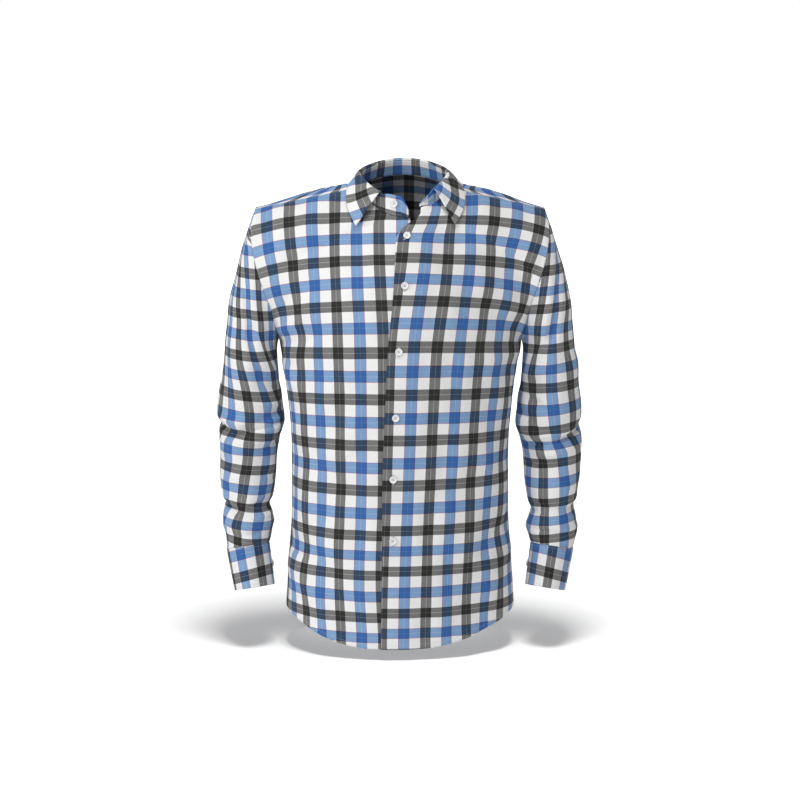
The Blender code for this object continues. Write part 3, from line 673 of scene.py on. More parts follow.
class WeaveGroups:
    """The node groups that the cloths share."""

    def __init__(self, yarns: YarnColours) -> None:
        """Make the groups.

        Args:
            yarns: the colours and widths of the bands.
        """
        self.run = self.stripe_run(yarns)
        self.weave = self.check_weave()

    @staticmethod
    def stripe_run(yarns: YarnColours) -> bpy.types.NodeTree:
        """Build the run of bands along one direction of the cloth.

        Args:
            yarns: the colours and widths of the bands.

        Returns:
            A group that turns a count of bands into the colour of the yarn there.
        """
        tree = bpy.data.node_groups.new("stripe_run", "ShaderNodeTree")
        tree.interface.new_socket("Steps", in_out="INPUT", socket_type="NodeSocketFloat")
        tree.interface.new_socket("Color", in_out="OUTPUT", socket_type="NodeSocketColor")
        g = Graph(tree)
        steps = g.node("NodeGroupInput").outputs["Steps"]
        wrapped = g.math("FLOORED_MODULO", g.math("ADD", steps, 1.0), 2.0)
        to_grey = g.math("ABSOLUTE", g.math("SUBTRACT", wrapped, 1.0))
        to_blue = g.math("SUBTRACT", 1.0, to_grey)
        to_edge = g.math("ABSOLUTE", g.math("SUBTRACT", to_blue, yarns.blue_half + yarns.line * 0.6))
        colour = g.blend(g.band(to_grey, yarns.grey_half), (1.0, 1.0, 1.0, 1.0), yarns.grey)
        colour = g.blend(g.band(to_blue, yarns.blue_half), colour, yarns.blue)
        colour = g.blend(g.band(to_edge, yarns.line), colour, yarns.red)
        colour = g.blend(g.band(to_grey, yarns.line), colour, yarns.pale)
        colour = g.blend(g.band(to_blue, yarns.line * 0.8), colour, yarns.sky)
        g.feed(g.node("NodeGroupOutput").inputs["Color"], colour)
        return tree

    def check_weave(self) -> bpy.types.NodeTree:
        """Build the woven check.

        Returns:
            A group that turns counts of bands across and along into the cloth's colour, with painted
            shade in the gaps between its yarns, and the height of its yarns.
        """
        tree = bpy.data.node_groups.new("check_weave", "ShaderNodeTree")
        for name, way, kind in (
            ("Steps", "INPUT", "Vector"), ("Yarns", "INPUT", "Float"), ("Place", "INPUT", "Vector"),
            ("Color", "OUTPUT", "Color"), ("Height", "OUTPUT", "Float"), ("Wear", "OUTPUT", "Float"),
        ):
            tree.interface.new_socket(name, in_out=way, socket_type="NodeSocket" + kind)
        g = Graph(tree)
        given = g.node("NodeGroupInput")
        split = g.node("ShaderNodeSeparateXYZ")
        g.feed(split.inputs[0], given.outputs["Steps"])
        runs, threads = [], []
        for axis in (0, 1):
            run = g.node("ShaderNodeGroup", node_tree=self.run)
            g.feed(run.inputs["Steps"], split.outputs[axis])
            runs.append(run.outputs["Color"])
            threads.append(g.math("MULTIPLY", split.outputs[axis], given.outputs["Yarns"]))
        cells = g.math("ADD", g.math("FLOOR", threads[0]), g.math("FLOOR", threads[1]))
        over = g.math("FLOORED_MODULO", cells, 2.0)
        rounds = [g.math("ABSOLUTE", g.math("SINE", g.math("MULTIPLY", t, math.pi))) for t in threads]
        warp = g.math("MULTIPLY", rounds[0], over)
        weft = g.math("MULTIPLY", rounds[1], g.math("SUBTRACT", 1.0, over))
        height = g.math("ADD", warp, weft)
        crossed = g.blend(1.0, runs[0], runs[1], "MULTIPLY")
        one_yarn = g.blend(over, runs[1], runs[0])
        alone = g.blend(1.0, one_yarn, one_yarn, "MULTIPLY")
        colour = g.blend(0.15, crossed, alone)
        slub = g.noise(given.outputs["Steps"], 9.0, 4.0)
        wear = g.noise(given.outputs["Place"], 5.0, 3.0)
        tone = g.math("MULTIPLY_ADD", g.math("SUBTRACT", slub, 0.5), 0.1, 0.97)
        tone = g.math("MULTIPLY_ADD", g.math("SUBTRACT", wear, 0.5), 0.06, tone)
        # painted shade: the yarns' crests are painted lighter and the gaps between them darker
        tone = g.math("MULTIPLY", tone, g.math("MULTIPLY_ADD", height, 0.07, 0.95))
        grey = g.node("ShaderNodeCombineColor")
        for socket in grey.inputs[:3]:
            g.feed(socket, tone)
        out = g.node("NodeGroupOutput")
        g.feed(out.inputs["Color"], g.blend(1.0, colour, grey.outputs[0], "MULTIPLY"))
        g.feed(out.inputs["Height"], height)
        g.feed(out.inputs["Wear"], wear)
        return tree


@dataclass(frozen=True)
class CheckCloth:
    """Woven check cotton as one of the record's slots."""

    slot: str
    white: tuple[float, float, float, float] = (0.8, 0.797, 0.793, 1.0)
    yarns: float = 62.0         # yarns from one band to the next
    roughness: float = 0.8
    bump: float = 0.3

    def material(self, groups: WeaveGroups) -> bpy.types.Material:
        """Make the finish.

        Args:
            groups: the shared node groups.

        Returns:
            The material.
        """
        material, shader, g = new_material(
            self.slot, Sheen_Weight=0.06, Sheen_Roughness=0.5, Specular_IOR_Level=0.25,
        )
        steps = g.node("ShaderNodeUVMap", uv_map="check")
        place = g.node("ShaderNodeTexCoord")
        weave = g.node("ShaderNodeGroup", node_tree=groups.weave)
        weave.inputs["Yarns"].default_value = self.yarns
        g.feed(weave.inputs["Steps"], steps.outputs["UV"])
        g.feed(weave.inputs["Place"], place.outputs["Object"])
        colour = g.blend(1.0, weave.outputs["Color"], self.white, "MULTIPLY")
        g.feed(shader.inputs["Base Color"], colour)
        rough = g.math("MULTIPLY_ADD", weave.outputs["Wear"], 0.12, self.roughness)
        g.feed(shader.inputs["Roughness"], rough)
        bump = g.node("ShaderNodeBump")
        bump.inputs["Strength"].default_value = self.bump
        bump.inputs["Distance"].default_value = 0.00018
        g.feed(bump.inputs["Height"], weave.outputs["Height"])
        g.feed(shader.inputs["Normal"], bump.outputs["Normal"])
        return material


@dataclass(frozen=True)
class SewingThread:
    """Twisted sewing cotton."""

    name: str = "sewing_thread"
    # the darker colour painted into the grooves of the twist as shade
    shade: tuple[float, float, float, float] = (0.38, 0.43, 0.5, 1.0)
    colour: tuple[float, float, float, float] = (0.5, 0.56, 0.64, 1.0)
    twists: float = 900.0

    def material(self) -> bpy.types.Material:
        """Make the finish, with the grooves of its twist across the thread painted darker as shade.

        Returns:
            The material.
        """
        material, shader, g = new_material(self.name)
        place = g.node("ShaderNodeTexCoord").outputs["Object"]
        # painted shade: the twist's bands paint its grooves in the darker colour
        twist = g.node("ShaderNodeTexWave", bands_direction="DIAGONAL")
        twist.inputs["Scale"].default_value = self.twists
        g.feed(twist.inputs["Vector"], place)
        g.feed(shader.inputs["Base Color"], g.blend(twist.outputs["Fac"], self.shade, self.colour))
        g.feed(shader.inputs["Roughness"], g.math("MULTIPLY_ADD", g.noise(place, 60.0), 0.2, 0.55))
        return material


@dataclass(frozen=True)
class ButtonPlastic:
    """Polished white resin with a faint cloud in it."""

    slot: str = "button_plastic"
    shade: tuple[float, float, float, float] = (0.7, 0.7, 0.69, 1.0)
    light: tuple[float, float, float, float] = (0.82, 0.82, 0.81, 1.0)

    def material(self) -> bpy.types.Material:
        """Make the finish.

        Returns:
            The material.
        """
        material, shader, g = new_material(self.slot, Coat_Weight=0.35, Coat_Roughness=0.12)
        place = g.node("ShaderNodeTexCoord").outputs["Object"]
        cloud = g.noise(place, 260.0, 4.0)
        g.feed(shader.inputs["Base Color"], g.blend(cloud, self.shade, self.light))
        g.feed(shader.inputs["Roughness"], g.math("MULTIPLY_ADD", g.noise(place, 900.0), 0.16, 0.2))
        return material


@dataclass
class ClothPiece:
    """One cut piece of cloth, laid out as a sheet, thickened inwards and patterned with the check."""

    pattern: Pattern
    name: str
    slot: str
    columns: int
    rows: int
    flat: tuple[float, float]
    area: float
    held: str = "hung"
    wall: float = BODY_WALL
    facing: float = 1.0         # 1 where the sheet's own normal points outwards, else -1
    around: bool = False
    hold: tuple = (0, 0, 0, 0)  # edges at a seam: u low, u high, v low, v high
    rests_on: tuple[str, ...] = ()

    def place(self, u: Array, v: Array) -> Array:
        """Lay out the sheet as its solid has it, folds and all."""
        raise NotImplementedError

    def relief(self, u: Array, v: Array, at: Array) -> Array:
        """Work out how far finer form stands out from the sheet: creases, ripples and hems."""
        return np.zeros_like(u)

    def check(self, u: Array, v: Array, at: Array) -> tuple[Array, Array]:
        """Count the check's bands across and along."""
        raise NotImplementedError

    def lines(self) -> tuple[Array, Array]:
        """Say where the grid's lines run."""
        return np.linspace(0, 1, self.columns + 1), np.linspace(0, 1, self.rows + 1)

    def fine(self, u: Array, v: Array) -> Array:
        """Lay out the sheet with its finer form, for what is sewn on to it."""
        at = self.place(u, v)
        return at + outward(self.place, u, v) * self.facing * self.relief(u, v, at)[..., None]

    def build(self) -> bpy.types.Object:
        """Make the piece.

        Returns:
            Its object, with its wall still a modifier.
        """
        us, vs = self.lines()
        grid_u, grid_v = np.meshgrid(us, vs)
        at = self.place(grid_u, grid_v)
        across, along = self.check(grid_u, grid_v, at)
        normal = outward(self.place, grid_u, grid_v) * self.facing
        grid = at + normal * self.relief(grid_u, grid_v, at)[..., None]
        for keep, edge, inner in zip(
            self.hold,
            (np.s_[:, 0], np.s_[:, -1], np.s_[0, :], np.s_[-1, :]),
            (np.s_[:, 1], np.s_[:, -2], np.s_[1, :], np.s_[-2, :]),
        ):
            step = unit(grid[inner] - grid[edge])
            grid[edge] = grid[edge] + step * SEAM_GAP * np.broadcast_to(keep, step.shape[:1])[:, None]
        bm = bmesh.new()
        bmesh.ops.create_grid(bm, x_segments=len(us) - 1, y_segments=len(vs) - 1, size=1.0)
        mesh = bpy.data.meshes.new(self.name)
        bm.to_mesh(mesh)
        bm.free()
        flat = np.empty(len(mesh.vertices) * 3)
        mesh.vertices.foreach_get("co", flat)
        flat = flat.reshape(-1, 3)
        i = np.rint((flat[:, 0] + 1) / 2 * (len(us) - 1)).astype(int)
        j = np.rint((flat[:, 1] + 1) / 2 * (len(vs) - 1)).astype(int)
        mesh.vertices.foreach_set("co", grid[j, i].ravel())
        corner = np.empty(len(mesh.loops), dtype=np.int32)
        mesh.loops.foreach_get("vertex_index", corner)
        steps = np.stack([across[j, i], along[j, i]], axis=-1)[corner]
        mesh.uv_layers.new(name="check").data.foreach_set("uv", steps.ravel())
        bm = bmesh.new()
        bm.from_mesh(mesh)
        if self.around:
            bmesh.ops.remove_doubles(bm, verts=bm.verts, dist=0.00001)
        if self.facing < 0:
            bmesh.ops.reverse_faces(bm, faces=bm.faces)
        bm.to_mesh(mesh)
        bm.free()
        mesh.shade_smooth()
        obj = add_object(self.name + "_cloth", mesh)
        wall = obj.modifiers.new("wall", "SOLIDIFY")
        wall.thickness = self.wall
        wall.offset = -1.0
        wall.use_even_offset = False
        return obj

    def dress(
        self, obj: bpy.types.Object, material: bpy.types.Material, sewn: Sequence[bpy.types.Object]
    ) -> None:
        """Give the piece its finish and hide its imported part.

        Args:
            obj: the piece.
            material: its cloth.
            sewn: the stitching that lies on it; not used.
        """
        finish(obj, material)
        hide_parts(self.name)


@dataclass
class FrontPanel(ClothPiece):
    """A front, from its lapping edge to the side seam and from the hem to the yoke."""

    side: Side = Side.RIGHT
    folds: tuple[Fold, ...] = ()
    creases: tuple[Fold, ...] = ()
    ripples: Ripples = Ripples(3)
    bands: tuple[float, ...] = ()
    grey_line: tuple[Width, ...] = ()
    neck_rise: float = 0.0
    swung: tuple[Width, ...] = table(       # how far its bands lean beside the open neck, in bands
        Width,
        (-0.08, 0.0), (-0.066, 0.075), (-0.055, 0.21), (-0.043, 0.32), (-0.033, 0.44), (-0.025, 0.5),
    )
    swung_x: tuple[float, float] = (0.045, 0.105)       # across which they come upright again
    neck_rise_z: tuple[float, float] = (-0.075, -0.045)
    neck_rise_x: tuple[float, float] = (0.02, 0.09)
    free_u: tuple[float, float] = (0.13, 0.26)          # the lap lies flat, and folds start beyond it
    grid_shares: tuple[float, float, float] = (0.68, 0.1, 0.22)     # rows below, in and above the opening
    end_turns: tuple[float, float] = (90.0, 48.0)       # degrees round the body, at the side and the armhole
    droop: tuple[Width, ...] = table(
        Width,
        (-0.7, 0.0), (-0.55, 0.0), (-0.45, 0.004), (-0.35, 0.012), (-0.25, 0.022), (-0.15, 0.03),
        (-0.05, 0.026),
    )

    def lines(self) -> tuple[Array, Array]:
        """Say where the grid's lines run, with one at the neck pit.

        Returns:
            The grid's values of u and of v.
        """
        p = self.pattern
        stops = (0.0, p.v_open, p.v_pit, 1.0)
        runs = [
            np.linspace(start, end, int(self.rows * share) + 1)[1:]
            for start, end, share in zip(stops, stops[1:], self.grid_shares)
        ]
        return np.linspace(0, 1, self.columns + 1), np.concatenate([[0.0], *runs])

    def base(self, u: Array, v: Array) -> Array:
        """Lay out the panel without folds.

        Args:
            u: where across the sheet.
            v: where along the sheet.

        Returns:
            The sheet's points.
        """
        p, sign = self.pattern, self.side.value
        pit_z, pit_turn = p.of_side(p.pit_z, self.side), p.of_side(p.pit_turn, self.side)
        u, v = np.broadcast_arrays(np.asarray(u, float), np.asarray(v, float))
        end = np.radians(mix(*self.end_turns, smooth(p.v_arm - 0.08, 1.0, v)))
        z = p.hem_front + (pit_z - p.hem_front) * np.minimum(v, p.v_pit) / p.v_pit
        centre = points(read(p.centre_line, "z", "x", z), read(p.front_line, "z", "y", z), z)
        past = np.clip((v - p.v_pit) / (1 - p.v_pit), 0.0, 1.2)
        turned = mix(pit_turn, p.yoke_neck, past)
        neck = p.neckline(sign * turned)
        if self.side is Side.LEFT:
            neck = neck + points(0.0 * v, 0.0 * v, p.neck_lift * smooth(130.0, 158.0, turned))
        centre = np.where((v > p.v_pit)[..., None], neck, centre)
        outer = p.side_edge(v, p.v_arm, np.full_like(v, sign), 1.0, p.yoke_front_turn)
        reach = np.abs(outer[..., 0] - centre[..., 0])
        swing = p.of_side(p.neck_open, self.side) * smooth(-0.074, pit_z, centre[..., 2])
        lap = np.where(v > p.v_pit + 1e-6, 0.0, p.lap - swing)
        start = -np.arcsin(lap / reach * np.sin(end))
        turn = mix(start, end, u)
        s = np.abs(turn / end)
        level = s * s * (1 + p.level) / (s + p.level)
        rise = mix(smooth(*p.hem_curve, s), level, smooth(0.0, p.hem_share, v))
        straight = smooth(p.v_pit, 1.0, v)
        rise = mix(rise, np.sin(np.abs(turn)) / np.sin(end), straight)
        return p.row(centre, outer, turn, end, rise, straight)

    def place(self, u: Array, v: Array) -> Array:
        """Lay out the panel with its folds. The left one lies over the right one at the lap.

        Args:
            u: where across the sheet.
            v: where along the sheet.

        Returns:
            The sheet's points.
        """
        p = self.pattern
        at = self.base(u, v)
        x, z = at[..., 0], at[..., 2]
        edge = smooth(0.0, 0.1, 1 - u) * smooth(0.0, 0.05, 1 - v) * smooth(*self.free_u, u)
        height = fold_height(self.folds, x, z) * edge
        if self.side is Side.LEFT:
            centre = read(p.centre_line, "z", "x", z)
            lift = p.lap_rise + p.collar_rise * smooth(-0.17, -0.1, z)
            height = height + lift * (1 - smooth(*p.lap_fade, x - centre))
        return at + outward(self.base, u, v) * self.side.value * height[..., None]

    def relief(self, u: Array, v: Array, at: Array) -> Array:
        """Stand out the finer creases, the ripples and the hem.

        Args:
            u: where across the sheet.
            v: where along the sheet.
            at: the sheet's points there.

        Returns:
            A height in metres for each point.
        """
        x, z = at[..., 0], at[..., 2]
        seam = smooth(0.0, 0.05, 1 - u) * smooth(0.0, 0.03, 1 - v)
        free = seam * smooth(0.12, 0.24, u)
        height = fold_height(self.creases, x, z) * free
        height = height + self.ripples.height(x * RIPPLE_REACH, z) * free
        hem = HEM_RISE * (1 - smooth(*HEM_FOLD, v)) * smooth(0.0, 0.02, u)
        return height + hem

    def check(self, u: Array, v: Array, at: Array) -> tuple[Array, Array]:
        """Count the check's bands: across from the grey one in the table, and down from the neck.

        Args:
            u: where across the sheet.
            v: where along the sheet.
            at: the sheet's points there; not used.

        Returns:
            The counts across and along, for each point.
        """
        base = self.base(u, v)
        z = base[..., 2]
        spacing = read(Check().spacing, "z", "x", z)
        across = Check.across(base, read(self.grey_line, "z", "x", z), self.side.value, spacing)
        if self.side is Side.LEFT:
            x = base[..., 0]
            across = across - read(self.swung, "z", "x", z) * (1 - smooth(*self.swung_x, x))
        reach = np.linspace(0, 1, u.shape[1])[None, :]
        sag = read(self.droop, "z", "x", z) * reach * reach
        beside = 1 - smooth(*self.neck_rise_x, np.abs(base[..., 0]))
        lift = self.neck_rise * smooth(*self.neck_rise_z, z) * beside
        return across, Check.down(self.bands, 0, z + sag - lift)


@dataclass
class BackPanel(ClothPiece):
    """The back, from the right side seam to the left and from the hem to the yoke."""

    folds: tuple[Fold, ...] = ()
    creases: tuple[Fold, ...] = ()
    ripples: Ripples = Ripples(8)
    bands: tuple[float, ...] = ()
    droop: tuple[Width, ...] = FrontPanel.droop

    def place(self, u: Array, v: Array) -> Array:
        """Lay out the panel with its folds.

        Args:
            u: where across the sheet.
            v: where along the sheet.

        Returns:
            The sheet's points.
        """
        at = self.pattern.back(u, v)
        edge = smooth(0.0, 0.06, 0.5 - np.abs(u - 0.5)) * smooth(0.0, 0.05, 1 - v)
        height = fold_height(self.folds, at[..., 0], at[..., 2]) * edge
        return at - outward(self.pattern.back, u, v) * height[..., None]

    def relief(self, u: Array, v: Array, at: Array) -> Array:
        """Stand out the finer creases, the ripples and the hem.

        Args:
            u: where across the sheet.
            v: where along the sheet.
            at: the sheet's points there.

        Returns:
            A height in metres for each point.
        """
        x, z = at[..., 0], at[..., 2]
        free = smooth(0.0, 0.04, 0.5 - np.abs(u - 0.5)) * smooth(0.0, 0.03, 1 - v)
        height = fold_height(self.creases, x, z) * free + self.ripples.height(x * RIPPLE_REACH, z) * free
        return height + HEM_RISE * (1 - smooth(*HEM_FOLD, v))

    def check(self, u: Array, v: Array, at: Array) -> tuple[Array, Array]:
        """Count the check's bands from a grey one down the centre back, matched at the side seams.

        Args:
            u: where across the sheet.
            v: where along the sheet.
            at: the sheet's points there; not used.

        Returns:
            The counts across and along, for each point.
        """
        base = self.pattern.back(u, v)
        z = base[..., 2]
        across = Check.across(base, np.zeros_like(z), 1.0, read(Check().spacing, "z", "x", z))
        reach = np.abs(u - 0.5) * 2
        sag = read(self.droop, "z", "x", z)
        return across, Check.down(self.bands, 0, z + sag * mix(0.6, 1.0, reach * reach))


@dataclass
class Yoke(ClothPiece):
    """The yoke over both shoulders, from the front seams and the neckline to the back seam."""

    reach: float = 0.46         # share of its columns that run round the neck
    fan: float = 60.0           # degrees by which the columns spread beside the neck
    back_fall: float = -0.5     # how steeply the cloth leaves the neckline behind and at its sides
    side_fall: float = -0.24
    neck_crown: float = 0.34    # how steeply it rises off the front seam at the neck and the armhole
    arm_crown: float = 0.86
    back_slope: float = 0.22    # how far back it still leans where it meets the back
    ripples: Ripples = Ripples(15, depth=0.0005)
    grey_x: tuple[float, float] = (-0.1018, 0.0765)     # where grey bands meet the front seams
    lean_to: float = 0.055      # how near the centre those bands come behind the neck
    centre_grey: float = 0.0146     # the grey band down the middle of the back
    centre_blue: float = 0.043      # how far behind the neck a blue band crosses it
    front_counts: tuple[float, float] = (-4.0, 2.0)     # which bands those are, from the centre back's
    front_bands: tuple[float, float] = (0.036, 0.0365)  # metres a band in front, across and down
    front_down: float = 1.4         # the count down at the front seams
    lean_length: float = 0.03       # how far behind the front seams they have leant most of the way
    lean_x: tuple[float, float] = (0.11, 0.2)           # from where on they lean less and less
    lean_less: float = 0.85
    settle: tuple[float, float] = (0.045, 0.13)         # how far behind the seams the bands come square

    def place(self, u: Array, v: Array) -> Array:
        """Lay out the sheet: u from right armhole to left, v from front to back.

        Args:
            u: where across the sheet.
            v: where along the sheet.

        Returns:
            The sheet's points.
        """
        p = self.pattern
        u, v = np.broadcast_arrays(np.asarray(u, float), np.asarray(v, float))
        side = np.where(u < 0.5, -1.0, 1.0)
        reach = np.clip(np.abs(u - 0.5) * 2, 0.0, 1.0)
        neck = p.neckline(side * p.yoke_neck * np.clip(reach / self.reach, 0.0, 1.0))
        tip = p.armhole(p.yoke_front_turn, side)
        corner = p.neckline(side * p.yoke_neck)
        along = np.clip((reach - self.reach) / (1 - self.reach), 0.0, 1.0)[..., None]
        start = np.where((reach > self.reach)[..., None], mix(corner, tip, along), neck)
        end = p.back(u, 1.0)
        over = smooth(0.0, 1.0, reach / self.reach) ** 2
        fan = np.radians(self.fan) * np.where(
            reach < self.reach, reach / self.reach, (1 - along[..., 0]) ** 1.5
        )
        crown = mix(self.neck_crown, self.arm_crown, along[..., 0])
        fall = self.back_fall * np.cos(fan) + self.side_fall * np.sin(fan)
        leave = points(side * np.sin(fan), np.cos(fan), mix(fall, crown, over))
        arrive = points(0.0 * reach, self.back_slope + 0.0 * reach, -1.0 + 0.0 * reach)
        length = np.linalg.norm(end - start, axis=-1, keepdims=True)
        s = v[..., None]
        sheet = hermite(start, end, leave, arrive, length, s)
        seam = p.armhole(mix(p.yoke_front_turn, -p.yoke_back_turn, v), side)
        last_end = p.armhole(-p.yoke_back_turn, side)
        last_length = np.linalg.norm(last_end - tip, axis=-1, keepdims=True)
        last_leave = points(0 * v, 1 + 0 * v, self.arm_crown + 0 * v)
        last = hermite(tip, last_end, last_leave, arrive, last_length, s)
        return sheet + (seam - last) * smooth(0.55, 1.0, reach)[..., None]

    def relief(self, u: Array, v: Array, at: Array) -> Array:
        """Stand out faint ripples."""
        free = smooth(0.0, 0.08, 0.5 - np.abs(u - 0.5)) * smooth(0.0, 0.1, v) * smooth(0.0, 0.1, 1 - v)
        return self.ripples.height(at[..., 0], at[..., 1] - at[..., 2]) * free

    def check(self, u: Array, v: Array, at: Array) -> tuple[Array, Array]:
        """Count the check's bands, which match the fronts' and lean in towards the neck.

        Args:
            u: where across the sheet.
            v: where along the sheet.
            at: the sheet's points there.

        Returns:
            The counts across and along, for each point.
        """
        far = run_length(at)
        half = (at.shape[1] - 1) // 2
        reach = np.abs(u - 0.5) * 2
        lean = 1 - np.exp(-far / self.lean_length)
        straight = (at[..., 0] - self.centre_grey) / CHECK
        across = np.empty_like(u)
        wide, tall = self.front_bands
        for part, sign, grey_x, count in zip(
            (np.s_[:, half::-1], np.s_[:, half:]), (-1.0, 1.0), self.grey_x, self.front_counts
        ):
            inwards = 1 - self.lean_less * smooth(*self.lean_x, np.abs(at[part][..., 0]))
            line = (abs(grey_x) + (self.lean_to - abs(grey_x)) * lean[part] * inwards) * sign
            across[part] = Check.across(at[part], line, sign, np.full_like(line, wide)) * sign + count
        beside = smooth(0.4, 0.62, reach) * (1 - smooth(*self.settle, far))
        back = far[-1:, :] - far
        down_back = -1.0 - (far[-1, half] - self.centre_blue - back) / CHECK
        down_front = self.front_down - far / tall
        in_front = smooth(0.25, 0.6, reach) * (1 - smooth(0.3, 0.9, v))
        return mix(straight, across, beside), mix(down_back, down_front, in_front)


@dataclass
class Sleeve(ClothPiece):
    """A sleeve, round the arm from its underside and from the armhole to the cuff."""

    side: Side = Side.RIGHT
    rings: tuple[Ring, ...] = ()
    cuff_rings: tuple[Ring, ...] = ()
    folds: tuple[SleeveFold, ...] = ()
    creases: tuple[SleeveFold, ...] = ()
    ripples: Ripples = Ripples(21)
    arm_radius: float = 0.05
    fold_lift: float = 0.0      # how far down the folds lie from where the table has them
    fold_depth: float = 1.0
    leave_top: Width = Width(-0.62, 0.24)   # which way the cloth leaves the armhole's top and lowest point
    leave_low: Width = Width(-0.8, 0.3)
    levels: int = 160
    line_count: float = 0.0     # the band that grey_line follows: 0 a grey one, -1 the blue one inside it
    even: int = 9               # how many levels share one start, so that the bands run evenly
    tilt: float = 0.1           # how far the bands that cross the arm slope, beyond the arm's middle
    tilt_x: float = 0.245
    tilt_z: tuple[float, float] = (-0.06, -0.16)
    crowding: tuple[Width, ...] = ()    # how close the check's lines lie down the arm
    bands: tuple[float, ...] = ()
    grey_line: tuple[Width, ...] = ()

    @staticmethod
    def tube_frame(rings: Sequence[Ring], t: Array, sign: float) -> tuple[Array, Array, Array]:
        """Find a tube's middle and its outward and forward directions.

        Args:
            rings: the tube's sections.
            t: how far along them.
            sign: -1 for the wearer's right, 1 for the left.

        Returns:
            The middle, the outward and the forward direction at t.
        """
        centre = points(*(read(rings, "t", axis, t) for axis in "xyz"))
        ahead = points(*(read(rings, "t", axis, t + 0.02) for axis in "xyz"))
        behind = points(*(read(rings, "t", axis, t - 0.02) for axis in "xyz"))
        line = unit(ahead - behind)
        out = np.zeros_like(line)
        out[..., 0] = 1.0
        out = unit(out - line * np.sum(out * line, axis=-1, keepdims=True))
        front = np.cross(line, out)
        mirror = np.array([sign, 1.0, 1.0])
        return centre * mirror, out * mirror, front * mirror

    @classmethod
    def tube_point(cls, rings: Sequence[Ring], t: Array, a: Array, sign: float) -> Array:
        """Find a tube's point at t along its rings and a radians round them.

        Args:
            rings: the tube's sections.
            t: how far along them.
            a: how far round them, in radians.
            sign: -1 for the wearer's right, 1 for the left.

        Returns:
            The tube's points.
        """
        centre, out, front = cls.tube_frame(rings, t, sign)
        wide = read(rings, "t", "wide", t)[..., None]
        deep = read(rings, "t", "deep", t)[..., None]
        return centre + out * wide * np.cos(a) + front * deep * np.sin(a)

    def base(self, u: Array, v: Array) -> Array:
        """Lay out the sleeve without folds.

        Args:
            u: where across the sheet.
            v: where along the sheet.

        Returns:
            The sheet's points.
        """
        sign, t_arm = self.side.value, self.rings[0].t
        u, v = np.broadcast_arrays(np.asarray(u, float), np.asarray(v, float))
        turn = 180.0 - 360.0 * u
        a = np.radians(turn)[..., None]
        t = np.maximum(v, t_arm)
        ring = self.tube_point(self.rings, t, a, sign)
        wrist = self.tube_point(self.cuff_rings, 0 * t, a, sign)
        ring = mix(ring, wrist, smooth(0.9, 1.0, v)[..., None])
        seam = self.pattern.armhole(turn, sign)
        s = np.clip(v / t_arm, -0.2, 1.0)[..., None]
        length = np.linalg.norm(ring - seam, axis=-1, keepdims=True)
        top = (1 + np.cos(a[..., 0])) / 2
        leave_x = sign * mix(self.leave_low.x, self.leave_top.x, top)
        leave = points(leave_x, 0 * v, mix(self.leave_low.z, self.leave_top.z, top))
        arrive = points(0 * v, 0 * v, -1 + 0 * v)
        loft = hermite(seam, ring, leave, arrive, length, s)
        return np.where((v < t_arm)[..., None], loft, ring)

    def fold_height(self, folds: Sequence[SleeveFold], turn: Array, z: Array) -> Array:
        """Work out how far folds push the sleeve out.

        Args:
            folds: the folds, by turn round the arm and height.
            turn: degrees round the arm: 0 is its outside and 90 its front.
            z: heights.

        Returns:
            A height in metres for each point.
        """
        height = np.zeros_like(z)
        for fold in folds:
            run = math.radians(fold.turn_end - fold.turn) * self.arm_radius
            away = np.radians((turn - fold.turn + 180.0) % 360.0 - 180.0) * self.arm_radius
            height = height + crease(away, z - fold.z, run, fold.z_end - fold.z, fold, ARM_FOLD_FADE)
        return height

    def place(self, u: Array, v: Array) -> Array:
        """Lay out the sleeve with its folds.

        Args:
            u: where across the sheet.
            v: where along the sheet.

        Returns:
            The sheet's points.
        """
        at = self.base(u, v)
        edge = smooth(0.0, 0.14, v) * smooth(0.0, 0.05, 1 - v)
        height = self.fold_height(self.folds, 180.0 - 360.0 * u, at[..., 2] + self.fold_lift)
        height = height * self.fold_depth * edge
        return at - outward(self.base, u, v) * self.side.value * height[..., None]

    def relief(self, u: Array, v: Array, at: Array) -> Array:
        """Stand out the finer creases and ripples.

        Args:
            u: where across the sheet.
            v: where along the sheet.
            at: the sheet's points there; not used.

        Returns:
            A height in metres for each point.
        """
        turn = 180.0 - 360.0 * u
        z = self.base(u, v)[..., 2]
        free = smooth(0.0, 0.08, v) * smooth(0.0, 0.04, 1 - v)
        height = self.fold_height(self.creases, turn, z + self.fold_lift)
        away = np.radians(turn) * self.arm_radius
        join = smooth(0.0, 0.1, u) * smooth(0.0, 0.1, 1 - u)
        height = height + self.ripples.height(away, z) * join
        return height * free

